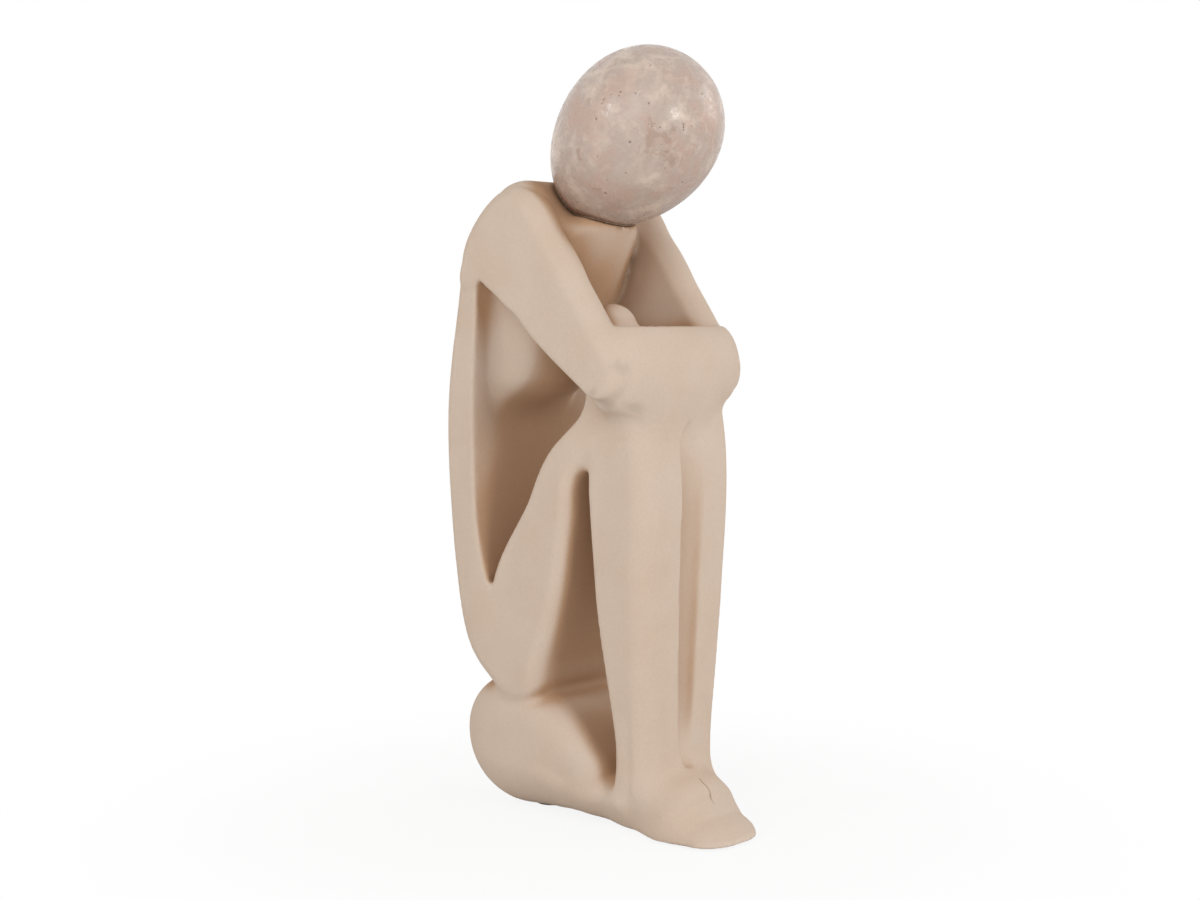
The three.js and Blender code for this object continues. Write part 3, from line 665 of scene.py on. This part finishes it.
WIDE_REACHES, CREASE_REACHES, WEAR_REACH = (6.0, 14.0, 24.0, 40.0), (1.2, 2.5), 2.0
BROWNER, WINDOW_BROWNER, ARM_DUSTED = 1.25, 0.75, 0.65
WINDOW_X, WINDOW_Y, WINDOW_FOOT, WINDOW_TOP = (-26, -14), (-34, -22), (50, 70), (-200, -182)
FAR_ARM_X, FAR_ARM_FOOT = (14, 24), (185, 200)
# Painted shade: the more closed-in a place is, the browner and darker the finish paints it. It is painted
# stronger deep in the upper window, and weaker on the far arm's inner side so that this face looks lit.
closed_in = evened(closeness(skin, WIDE_REACHES), 6)
skin_x, skin_y, skin_z = skin.T
in_window = smooth_step(skin_x, *WINDOW_X) * smooth_step(skin_y, *WINDOW_Y)
in_window *= smooth_step(skin_z, *WINDOW_FOOT) * smooth_step(-skin_z, *WINDOW_TOP)
on_far_arm = smooth_step(skin_x, *FAR_ARM_X) * smooth_step(skin_z, *FAR_ARM_FOOT)
closed_in *= (BROWNER + WINDOW_BROWNER * in_window) * (1 - ARM_DUSTED * on_far_arm)
# Painted shade in the creases: the finish darkens places where the distance says a crease is narrow.
creased = evened(closeness(skin, CREASE_REACHES), 2)
shallow = (measured(skin - outward * WEAR_REACH) + WEAR_REACH) / WEAR_REACH
worn = evened(np.clip(shallow, 0, 1), 1)
skin -= outward * rubbed[:, None]
print("closed in, mean and most:", round(float(closed_in.mean()), 2), round(float(closed_in.max()), 2))

# %% [markdown]
# ## Make the mesh
#
# Numbers become a Blender mesh in one call. The vertices are turned into metres and slid to where the
# CAD model stands, and the mesh stands for the CAD node of the same piece. Grey patches of painted
# shade below the near end of the forearms have their own places, and a noise makes them ragged.

# %% The carved body
def linked(name, data):
    made = bpy.data.objects.new(name, data)
    bpy.context.scene.collection.objects.link(made)
    return made


def mesh_object(name, points, faces):
    mesh = bpy.data.meshes.new(name)
    mesh.from_pydata(((points + [0, slide, 0]) * MM).tolist(), [], faces)
    mesh.update()
    mesh.shade_smooth()
    return linked(name, mesh)


def keep_numbers(piece, **named):
    for name, numbers in named.items():
        kept = piece.data.attributes.new(name, "FLOAT", "POINT")
        kept.data.foreach_set("value", np.asarray(numbers, np.float32))


# Painted shade: grey patches below the near forearm, where its shade falls.
SMUDGES = [
    (-33.5, -40.3, 178.3, 5), (-38, -30.8, 169, 4), (-33, -33.7, 164, 5), (-28.5, -41.4, 163.6, 5),
    (-21.5, -47.3, 164, 1.2),
]
SMUDGE_STRETCH, SMUDGE_RAGGED = (0.5, 1, 1.3), 2.5
smudged = np.zeros(len(skin))
unevenness = SMUDGE_RAGGED * lattice_noise(skin + 300, 2.5, 31)
for *place, size in SMUDGES:
    gap = np.linalg.norm((skin - place) * SMUDGE_STRETCH, axis=1) + unevenness
    smudged = np.maximum(smudged, np.clip(1.2 - gap / size, 0, 1))
body = mesh_object("carved_body", skin, quads.tolist())
keep_numbers(body, closed_in=closed_in, creased=creased, worn=worn, smudged=smudged)
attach(body, "root")
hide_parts("stone_body")
print("carved body:", len(body.data.polygons), "quads")

# %% [markdown]
# ## The egg
#
# A ball made from a cube has even quads and no pinched poles, so it takes pits and polish equally well
# all over. Each of its points is then moved onto the egg. The stone has small open pores that the
# polisher never fills. Each is pressed into the mesh as a little bowl. The ones that are easy to see
# have their own places, as a turn round the egg and a tilt up it, and the rest are strewn by a seeded
# draw over the whole egg. The same goes for a few brown stains, pink blushes and grey clouds, which are
# dabs with ragged borders.

# %% The pores of the polished stone
POLISHED_PORES = [
    (-92, 35, 0.6), (-90, 33, 0.4), (-83, 42, 0.4), (-68, 44, 0.5), (-96, 24, 0.5), (-94, 22, 0.4),
    (-88, 14, 0.6), (-30, 47, 0.5), (-28.7, 45.5, 0.6), (-27.5, 44, 0.5), (-10, 71, 0.4), (-58, 20, 0.6),
    (-53, 35, 0.4), (-46, 4, 0.4), (-4, 14, 0.5), (-47, -16, 0.6), (-60, 28, 0.3), (-38, 30, 0.3),
]
STREWN_PORES = 60
draw = np.random.default_rng(11)
strewn_turns = draw.uniform(-180, 180, STREWN_PORES)
strewn_tilts = np.degrees(np.arcsin(draw.uniform(-1, 1, STREWN_PORES)))
strewn_sizes = draw.uniform(0.2, 0.4, STREWN_PORES)
strewn = np.stack([strewn_turns, strewn_tilts, strewn_sizes], axis=1)
pore_turns, pore_tilts, pore_sizes = np.vstack([POLISHED_PORES, strewn]).T


def turned_ways(turns, tilts):
    turns, tilts = np.radians(turns), np.radians(tilts)
    return np.stack([np.sin(turns) * np.cos(tilts), -np.cos(turns) * np.cos(tilts), np.sin(tilts)], axis=1)


pore_ways = turned_ways(pore_turns, pore_tilts)
print("pores:", len(pore_ways))

# %% Stains, blushes and clouds that have their own places
BROWN_STAINS = [
    (-54, 36, 3), (-50.5, 32, 4), (-46, 27, 4), (-42, 23, 3), (-39, 37, 3), (-36, 33, 3), (-33, 28, 3),
    (-29, 23, 3), (140, 20, 5), (128, 12, 4), (60, -5, 5),
]
PINK_BLUSHES = [
    (-95.5, 39.5, 9), (-38.7, -10.7, 9), (-90, 11, 10), (-66, 0, 7), (-14, 10, 7), (90, 30, 12),
    (170, -5, 12),
]
GREY_CLOUDS = [
    (-84.7, 50, 6), (-73.3, 41, 7), (-51.6, 44.5, 7), (-47.6, 5, 9), (-60, 22, 8), (40, 35, 10),
    (120, 45, 10),
]
print("stains, blushes and clouds:", len(BROWN_STAINS), len(PINK_BLUSHES), len(GREY_CLOUDS))

# %% The polished egg
EGG_CUTS = 150
POLISHED_OFF, PORE_DEPTH, NECK_REACH = 0.09, 0.4, 2.5


def egg_points(ways):
    wide = EGG_WIDTH / 2 * (1 + EGG_FULLNESS * ways[:, 2])
    x, y, z = ways[:, 0] * wide, ways[:, 1] * wide, ways[:, 2] * EGG_LENGTH / 2
    v, w = leaned(y, z)
    return np.stack([x, v + EGG_Y, w + EGG_Z], axis=1)


ball = bmesh.new()
bmesh.ops.create_cube(ball, size=2)
bmesh.ops.subdivide_edges(ball, edges=ball.edges[:], cuts=EGG_CUTS, use_grid_fill=True)
ball.verts.ensure_lookup_table()
ways = unit(np.tan(np.array([v.co[:] for v in ball.verts]) * math.pi / 4))
egg_faces = [[v.index for v in face.verts] for face in ball.faces]
ball.free()
egg_skin = egg_points(ways)
egg_middle = np.array([0, EGG_Y, EGG_Z])
inward = unit(egg_middle - egg_skin)
ragged = 5 * lattice_noise(egg_skin + 200, 3.5, 21) + 4 * lattice_noise(egg_skin + 200, 1.1, 22) - 3.5


def dabs(centres, sizes, unevenness):
    share = np.zeros(len(egg_skin))
    for centre, size in zip(centres, sizes):
        gap = np.linalg.norm(egg_skin - centre, axis=1) + unevenness
        share = np.maximum(share, np.clip(1.25 - gap / size, 0, 1))
    return share


def stone_marks(marks):
    mark_turns, mark_tilts, sizes = np.array(marks).T
    return dabs(egg_points(turned_ways(mark_turns, mark_tilts)), sizes, ragged)


pored = dabs(egg_points(pore_ways), pore_sizes, 0)
stained, blushed, clouded = (stone_marks(marks) for marks in (BROWN_STAINS, PINK_BLUSHES, GREY_CLOUDS))
egg_skin += inward * (POLISHED_OFF + PORE_DEPTH * smooth_step(pored, 0.1, 0.9))[:, None]
head = mesh_object("polished_egg", egg_skin, egg_faces)
# Painted contact shade: the egg is darkened where it comes close to the neck.
near_neck = np.clip(1 - measured(egg_skin - inward * NECK_REACH) / NECK_REACH, 0, 1)
keep_numbers(head, pored=pored, near_neck=near_neck, stained=stained, blushed=blushed, clouded=clouded)
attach(head, "root")
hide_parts("stone_head")
print("egg:", len(head.data.polygons), "quads")

# %% [markdown]
# ## The resin under the egg
#
# The egg is set in resin, and what shows of it is a hairline round the neck. The bead is a thin sheet
# that follows the egg out to the skin of the neck, so its rim is found by walking outwards over the
# egg in every direction, until the walk leaves the stone.

# %% The bead of resin
RESIN_TURNS, RESIN_ROWS, RESIN_SET_BACK, RESIN_OFF = 160, 26, 0.5, 0.04
side_way = np.cross(pin_way, ACROSS)


def on_egg(turn, tilt, margin):
    way = -pin_way * np.cos(tilt)[..., None]
    way = way + (np.sin(tilt) * np.cos(turn))[..., None] * ACROSS
    way = way + (np.sin(tilt) * np.sin(turn))[..., None] * side_way
    far = np.full(turn.shape, EGG_LENGTH / 2)
    for _ in range(6):
        place = egg_middle + way * far[..., None]
        far = far + margin - egg_distance(*np.moveaxis(place, -1, 0))
    return egg_middle + way * far[..., None]


resin_turns = np.arange(RESIN_TURNS) / RESIN_TURNS * 2 * math.pi
tilts = np.radians(np.arange(8, 80, 0.5))
walk = on_egg(*np.meshgrid(resin_turns, tilts, indexing="ij"), RESIN_THICK / 2).reshape(-1, 3)
x, y, z = walk.T
outside = (uncut(x, y, z, side_views(y, z)) > -RESIN_SET_BACK).reshape(RESIN_TURNS, -1)
rim = tilts[np.argmax(outside, axis=1)]
start = np.arctan((PIN_RADIUS + PIN_PLAY) / (EGG_LENGTH / 2))
rows = []
for margin in (RESIN_OFF, RESIN_THICK - RESIN_OFF):
    for share in np.linspace(0, 1, RESIN_ROWS):
        rows.append(on_egg(resin_turns, start + (rim - start) * share, np.full(RESIN_TURNS, margin)))
rows = rows[:RESIN_ROWS] + rows[RESIN_ROWS:][::-1]
ring = np.arange(RESIN_TURNS)
resin_faces = []
after = (ring + 1) % RESIN_TURNS
for n in range(len(rows)):
    here, there = n * RESIN_TURNS, (n + 1) % len(rows) * RESIN_TURNS
    resin_faces.append(np.stack([here + ring, here + after, there + after, there + ring], axis=1))
resin = mesh_object("resin_bead", np.vstack(rows), np.vstack(resin_faces).tolist())
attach(resin, "root")
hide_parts("glue_bed")
print("resin reaches out", np.degrees(rim).min().round(1), "to", np.degrees(rim).max().round(1), "degrees")

# %% [markdown]
# ## Felt pads
#
# Three round pads keep the stone off the table. A pad is punched from felt sheet, so its rim is upright
# with soft, slightly frayed edges. It is turned from a short outline, and the noise that rubbed the
# stone makes its rim uneven.

# %% The felt pads
PAD_TURNS, PAD_SOFT, PAD_FRAY = 96, 0.25, 0.18


def felt_pad(name, node):
    (x0, y0, z0), (x1, y1, z1) = (np.array(corner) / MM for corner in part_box(node))
    radius, middle_x, middle_y = (x1 - x0) / 2, (x0 + x1) / 2, (y0 + y1) / 2 - slide
    half = [(radius * share, 0) for share in (0, 0.35, 0.7, 0.9)]
    half += [(radius - PAD_SOFT, 0), (radius - PAD_SOFT / 3, PAD_SOFT / 3), (radius, PAD_SOFT)]
    outline = [(out, z0 + up) for out, up in half] + [(out, z1 - up) for out, up in half[::-1]]
    turn = np.arange(PAD_TURNS) / PAD_TURNS * 2 * math.pi
    points = []
    for out, height in outline:
        ring_points = np.stack([out * np.cos(turn), out * np.sin(turn), np.full(PAD_TURNS, height)], axis=1)
        fray = PAD_FRAY * lattice_noise(ring_points + 40, 0.5, 9) * (out / radius) ** 4
        ring_points[:, :2] *= (1 - fray / radius)[:, None]
        points.append(ring_points + [middle_x, middle_y, 0])
    points[0], points[-1] = points[0][:1], points[-1][:1]
    count = 1 + (len(outline) - 2) * PAD_TURNS
    faces = []
    for n in range(PAD_TURNS):
        after = (n + 1) % PAD_TURNS
        faces.append([0, 1 + after, 1 + n])
        for row in range(len(outline) - 3):
            here, there = 1 + row * PAD_TURNS, 1 + (row + 1) * PAD_TURNS
            faces.append([here + n, here + after, there + after, there + n])
        top = 1 + (len(outline) - 3) * PAD_TURNS
        faces.append([top + n, top + after, count])
    pad = mesh_object(name, np.vstack(points), faces)
    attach(pad, "root")
    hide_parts(node)
    return pad


pad_nodes = ("felt_pad_seat", "felt_pad_right_toes", "felt_pad_left_toes")
pads = [felt_pad(node + "_soft", node) for node in pad_nodes]
print("pads:", [pad.name for pad in pads])

# %% [markdown]
# ## Finishes
#
# Every finish is a Principled shader with procedural colour, roughness and bump. All noises are in
# object coordinates, which are metres here, so a scale of 100 gives clouds of about 10 mm.

# %% Small tools for building a finish
def add(tree, kind, given=None, **settings):
    node = tree.nodes.new(kind)
    for name, value in settings.items():
        setattr(node, name, value)
    for socket, value in (given or {}).items():
        if isinstance(value, bpy.types.NodeSocket):
            tree.links.new(value, node.inputs[socket])
        elif isinstance(value, tuple) and node.inputs[socket].type == "RGBA":
            node.inputs[socket].default_value = (*value, 1)
        else:
            node.inputs[socket].default_value = value
    return node


def new_finish(name):
    finish = bpy.data.materials.new(name)
    finish.use_nodes = True
    finish.node_tree.nodes.clear()
    return finish, finish.node_tree, add(finish.node_tree, "ShaderNodeTexCoord").outputs["Object"]


def noise(tree, where, scale, detail=3.0, roughness=0.5, distortion=0.0):
    given = {"Scale": scale, "Detail": detail, "Roughness": roughness, "Distortion": distortion}
    return add(tree, "ShaderNodeTexNoise", {"Vector": where, **given}).outputs["Fac"]


def stretched(tree, where, turned, scale):
    given = {"Vector": where, "Rotation": turned, "Scale": scale}
    return add(tree, "ShaderNodeMapping", given).outputs["Vector"]


def ramp(tree, factor, *stops):
    node = add(tree, "ShaderNodeValToRGB", {"Fac": factor})
    while len(node.color_ramp.elements) < len(stops):
        node.color_ramp.elements.new(0.5)
    for element, (place, colour) in zip(node.color_ramp.elements, stops):
        element.position = place
        element.color = (*colour, 1)
    return node.outputs["Color"]


def greys(tree, factor, low, dark, high, light):
    return ramp(tree, factor, (low, (dark, dark, dark)), (high, (light, light, light)))


def mixed(tree, factor, first, second, blend="MIX"):
    given = {0: factor, 6: first, 7: second}
    return add(tree, "ShaderNodeMix", given, data_type="RGBA", blend_type=blend).outputs[2]


def kept(tree, name):
    return add(tree, "ShaderNodeAttribute", attribute_name=name).outputs["Fac"]


def shares(tree, factor, low, high, most=1.0, least=0.0):
    given = {"Value": factor, "From Min": low, "From Max": high, "To Min": least, "To Max": most}
    return add(tree, "ShaderNodeMapRange", given, interpolation_type="SMOOTHSTEP").outputs["Result"]


def layered(tree, colour, layers):
    for factor, low, high, most, layer in layers:
        factor = kept(tree, factor) if isinstance(factor, str) else factor
        colour = mixed(tree, shares(tree, factor, low, high, most), colour, layer)
    return colour


def sum_up(tree, rule, *given):
    return add(tree, "ShaderNodeMath", dict(enumerate(given)), operation=rule).outputs[0]


def bumped(tree, height, strength, distance):
    given = {"Height": height, "Strength": strength, "Distance": distance}
    return add(tree, "ShaderNodeBump", given).outputs["Normal"]


def principled(tree, **given):
    named = {name.replace("_", " "): value for name, value in given.items()}
    shader = add(tree, "ShaderNodeBsdfPrincipled", named)
    add(tree, "ShaderNodeOutputMaterial", {"Surface": shader.outputs["BSDF"]})


print("tools for the finishes are ready")

# %% [markdown]
# ## Matt pale stone
#
# The body is a warm, pale beige that is nearly even, with faint clouds some 20 mm across and a dusting
# of finer grain. Shade is painted into it: its closed-in places are painted browner, its creases darker,
# and a few grey patches below the near forearm stand for the shade there. The crisp edges are worn a
# shade paler. The surface is dull, with a fine tooth left by the last abrasive. A thin wandering dark
# line is painted shade for the crease between the toes.

# %% The body's finish
PALE, WARM, DUSTY = (0.620, 0.492, 0.392), (0.602, 0.472, 0.370), (0.630, 0.508, 0.411)
# The first two colours on this line are painted shade: the brown for the hollows and the dark brown for the
# creases.
RAW, DUST_BROWN, WORN_PALE = (0.470, 0.285, 0.165), (0.240, 0.140, 0.080), (0.700, 0.575, 0.475)
# The second colour on this line is the grey of painted shade below the near forearm.
CHIP, SMUDGE = (0.760, 0.650, 0.550), (0.330, 0.262, 0.215)
CREASE_RUN, CREASE_LOW, CREASE_HIGH = (-51, -56), 9, 25
CREASE_WANDER, CREASE_HALF = 0.0022, 0.0005


# Painted shade: a thin dark line stands for the shade inside the crease between the toes, which is too fine
# to carve in the mesh.
def crease_line(tree, where):
    apart = add(tree, "ShaderNodeSeparateXYZ", {0: where}).outputs
    wander = noise(tree, where, 300, 2)
    aside = sum_up(tree, "MULTIPLY_ADD", wander, CREASE_WANDER, -CREASE_WANDER / 2)
    far = sum_up(tree, "ABSOLUTE", sum_up(tree, "ADD", apart["X"], aside))
    line = shares(tree, far, CREASE_HALF, CREASE_HALF / 5, 0.6)
    heel, toe = (slide + y for y in CREASE_RUN)
    ends = (
        ("Y", heel + 1.5, heel), ("Y", toe - 2.5, toe),
        ("Z", CREASE_LOW, CREASE_LOW + 1), ("Z", CREASE_HIGH, CREASE_HIGH - 1),
    )
    for axis, out, into in ends:
        line = sum_up(tree, "MULTIPLY", line, shares(tree, apart[axis], out * MM, into * MM))
    return line


def pale_stone():
    finish, tree, where = new_finish("matt_pale_stone")
    colour = ramp(tree, noise(tree, where, 45, 3, 0.5), (0.3, WARM), (0.5, PALE), (0.7, DUSTY))
    colour = layered(tree, colour, (
        ("worn", 0.15, 0.8, 0.55, WORN_PALE),
        # Painted shade: closed-in places take the brown of shade.
        ("closed_in", 0.12, 0.85, 0.92, RAW),
        # Painted shade: creases are darkened with a dark brown.
        ("creased", 0.25, 0.95, 0.6, DUST_BROWN),
    ))
    crumbs = shares(tree, noise(tree, where, 520, 3, 0.6), 0.56, 0.64)
    chips = sum_up(tree, "MULTIPLY", crumbs, shares(tree, kept(tree, "worn"), 0.45, 0.85, 0.8))
    colour = mixed(tree, chips, colour, CHIP)
    # Painted shade below the near forearm.
    colour = layered(tree, colour, [("smudged", 0.0, 0.9, 0.33, SMUDGE)])
    # Painted shade of the toe crease.
    colour = mixed(tree, crease_line(tree, where), colour, DUST_BROWN)
    grain = greys(tree, noise(tree, where, 1100, 2, 0.5), 0.35, 0.3, 0.65, 0.75)
    colour = mixed(tree, 0.05, colour, grain, "OVERLAY")
    tooth = bumped(tree, noise(tree, where, 1600, 3, 0.6), 0.12, 0.00012)
    principled(tree, Base_Color=colour, Roughness=0.78, Specular_IOR_Level=0.35, Normal=tooth)
    return finish


body.data.materials.append(pale_stone())
print("finish of the body:", body.data.materials[0].name)

# %% [markdown]
# ## Polished cloudy stone
#
# The egg is a different stone: pinkish, with grey clouds, a few brown stains, open pores and a soft
# polish. The clouds are two noises of different sizes laid over one another. A stretched one gives the
# brown stains their streaks, and a fine one breaks up the polish, so that highlights are a little
# ragged, as they are on travertine. On top come the dabs and pores that have their own places.

# %% The egg's finish
PINK, CLOUD_GREY, CREAM = (0.520, 0.375, 0.308), (0.497, 0.398, 0.341), (0.665, 0.537, 0.448)
# The first colour here is the brown of the egg's real stains, and also of the painted shade near the neck.
STAIN, PORE_DARK = (0.330, 0.200, 0.140), (0.130, 0.070, 0.045)


def polished_stone():
    finish, tree, where = new_finish("polished_cloudy_stone")
    clouds = noise(tree, where, 75, 5, 0.6, 0.4)
    colour = ramp(tree, clouds, (0.36, PINK), (0.5, CLOUD_GREY), (0.64, CREAM))
    patches = noise(tree, where, 190, 4, 0.65, 0.8)
    streaks = noise(tree, stretched(tree, where, (0.5, 0.3, 0), (1, 1, 0.35)), 160, 4, 0.65, 0.5)
    flecks = noise(tree, where, 700, 2, 0.6)
    colour = layered(tree, colour, (
        (patches, 0.52, 0.66, 0.5, PINK),
        (patches, 0.48, 0.36, 0.4, CREAM),
        (streaks, 0.6, 0.74, 0.55, STAIN),
        (flecks, 0.66, 0.76, 0.5, STAIN),
        # Painted contact shade where the egg meets the neck. The other brown layers are the stone's own
        # stains.
        ("near_neck", 0.1, 0.9, 0.75, STAIN),
        ("blushed", 0.1, 0.9, 0.6, PINK),
        ("clouded", 0.1, 0.9, 0.75, CLOUD_GREY),
        ("stained", 0.1, 0.9, 0.4, STAIN),
        ("pored", 0.3, 1.0, 0.85, PORE_DARK),
    ))
    polish = greys(tree, noise(tree, where, 420, 4, 0.6), 0.4, 0.17, 0.62, 0.45)
    grain = bumped(tree, flecks, 0.04, 0.0001)
    principled(tree, Base_Color=colour, Roughness=polish, Specular_IOR_Level=0.4, Normal=grain)
    return finish


head.data.materials.append(polished_stone())
print("finish of the egg:", head.data.materials[0].name)

# %% [markdown]
# ## Resin, felt and steel
#
# The resin has yellowed and taken up dust, the felt is a tangle of short wool fibres, and the pin is
# drawn steel with fine lines along it. The pin can't be seen once the egg is on, but whoever takes the
# model apart will find it finished.

# %% The small pieces' finishes
def aged_resin():
    finish, tree, where = new_finish("aged_resin")
    dust = noise(tree, where, 350, 4, 0.6)
    colour = ramp(tree, dust, (0.35, (0.26, 0.16, 0.10)), (0.65, (0.42, 0.29, 0.20)))
    dull = greys(tree, dust, 0.3, 0.45, 0.7, 0.75)
    principled(tree, Base_Color=colour, Roughness=dull, Normal=bumped(tree, dust, 0.2, 0.0002))
    return finish


def wool_felt():
    finish, tree, where = new_finish("wool_felt")
    tangle = noise(tree, where, 1500, 5, 0.7, 1.5)
    colour = ramp(tree, tangle, (0.35, (0.30, 0.23, 0.17)), (0.65, (0.48, 0.39, 0.31)))
    fibres = bumped(tree, tangle, 0.6, 0.0003)
    principled(
        tree, Base_Color=colour, Roughness=1.0, Normal=fibres, Sheen_Weight=0.4, Sheen_Roughness=0.6,
    )
    return finish


def drawn_steel():
    finish, tree, where = new_finish("drawn_steel")
    along = stretched(tree, where, (math.atan2(pin_way[1], pin_way[2]), 0, 0), (1, 1, 0.02))
    lines = noise(tree, along, 4000, 2, 0.5)
    colour, dull = (greys(tree, lines, 0.3, dark, 0.7, light) for dark, light in ((0.42, 0.6), (0.3, 0.5)))
    scored = bumped(tree, lines, 0.15, 0.00005)
    principled(tree, Base_Color=colour, Roughness=dull, Metallic=1.0, Normal=scored)
    return finish


resin.data.materials.append(aged_resin())
felt = wool_felt()
for pad in pads:
    pad.data.materials.append(felt)
steel = drawn_steel()
for slot in frame["nodes"]["neck_pin"].material_slots:
    slot.material = steel
print("finishes:", [m.name for m in bpy.data.materials if m.users])

# %% [markdown]
# ## The room: floor, sky, lamps
#
# The photograph has a white ground, and two soft boxes that show as two highlights on the egg. Worked
# back from the egg's slope there, one stands well to the left of the camera at 24 degrees up, and the
# other to the right of it at 13 degrees up. Most of the light is broader: the white tent all round, a
# lit card in front and a weaker one on the far side, which leave only soft shade. The world is white
# where the camera or the polish sees it, and the floor where the camera does. Close to the figure the
# floor keeps more of its own shading, so that its shadow shows.

# %% Floor
FLOOR_HALF, FLOOR_GREY, SHADOW_NEAR, SHADOW_FAR = 3.0, 0.88, 0.06, 0.24


def white_floor():
    finish, tree, where = new_finish("white_floor")
    plain = add(tree, "ShaderNodeBsdfDiffuse", {"Color": (FLOOR_GREY,) * 3})
    shine = add(tree, "ShaderNodeEmission", {"Strength": 1.0})
    far = add(tree, "ShaderNodeVectorMath", {0: where}, operation="LENGTH").outputs["Value"]
    whiter = shares(tree, far, SHADOW_NEAR, SHADOW_FAR, 1.0, FLOOR_GREY)
    seen = add(tree, "ShaderNodeLightPath").outputs["Is Camera Ray"]
    share = sum_up(tree, "MULTIPLY", seen, whiter)
    blend = add(tree, "ShaderNodeMixShader", {0: share, 1: plain.outputs[0], 2: shine.outputs[0]})
    add(tree, "ShaderNodeOutputMaterial", {"Surface": blend.outputs[0]})
    return finish


sheet = bmesh.new()
bmesh.ops.create_grid(sheet, x_segments=2, y_segments=2, size=FLOOR_HALF)
floor_mesh = bpy.data.meshes.new("floor")
sheet.to_mesh(floor_mesh)
sheet.free()
floor = linked("floor", floor_mesh)
floor.data.materials.append(white_floor())
print("floor:", 2 * FLOOR_HALF, "m across")

# %% World
SKY_COLOUR, SKY_STRENGTH = (1.0, 0.985, 0.965), 0.5
world = bpy.data.worlds.new("white_studio")
bpy.context.scene.world = world
world.use_nodes = True
sky = world.node_tree
sky.nodes.clear()
rays = add(sky, "ShaderNodeLightPath").outputs
seen = add(sky, "ShaderNodeBackground", {"Color": (1, 1, 1)})
lit = add(sky, "ShaderNodeBackground", {"Color": SKY_COLOUR, "Strength": SKY_STRENGTH})
either = sum_up(sky, "MAXIMUM", rays["Is Camera Ray"], rays["Is Glossy Ray"])
choice = add(sky, "ShaderNodeMixShader", {0: either, 1: lit.outputs[0], 2: seen.outputs[0]})
add(sky, "ShaderNodeOutputWorld", {"Surface": choice.outputs[0]})
print("light from the sky:", SKY_STRENGTH)

# %% Lamps
LAMP_AIM = Vector((0, 0, 0.16))


def soft_box(name, place, size, power):
    light = bpy.data.lights.new(name, "AREA")
    light.shape = "RECTANGLE"
    light.size = light.size_y = size
    light.energy = power
    made = linked(name, light)
    made.location = LAMP_AIM + Vector(place)
    made.rotation_euler = (-Vector(place)).to_track_quat("-Z", "Y").to_euler()


soft_box("soft_box_left", (-1.05, 0.31, 0.50), 0.3, 2.4)
soft_box("soft_box_right", (-0.17, -1.16, 0.27), 0.3, 3.3)
soft_box("card_in_front", (-1.10, -0.50, 0.55), 0.7, 3.7)
soft_box("card_on_far_side", (1.0, -0.6, 0.5), 0.6, 3.2)

# %% [markdown]
# ## The camera
#
# The photograph was taken from in front and to the figure's right, a little under shoulder height,
# and looks slightly down. The lens comes from how fast the base narrows with distance.

# %% The camera
VIEW_AZIMUTH, VIEW_DISTANCE, VIEW_HEIGHT, VIEW_DROP = 48, 731, 195.2, 130
FOCAL_PIXELS, PHOTO_WIDTH, SENSOR = 1870, 1200, 36
turn = math.radians(VIEW_AZIMUTH)
lens = bpy.data.cameras.new("camera")
lens.sensor_width = SENSOR
lens.lens = SENSOR * FOCAL_PIXELS / PHOTO_WIDTH
lens.clip_start = 0.01
camera = linked("camera", lens)
camera.location = (
    -VIEW_DISTANCE * math.sin(turn) * MM,
    (slide - VIEW_DISTANCE * math.cos(turn)) * MM,
    VIEW_HEIGHT * MM,
)
camera.rotation_euler = (math.pi / 2 - math.atan(VIEW_DROP / FOCAL_PIXELS), 0, -turn)
bpy.context.scene.camera = camera
bpy.context.scene.view_settings.view_transform = "Standard"
print("lens of", round(lens.lens, 1), "mm")
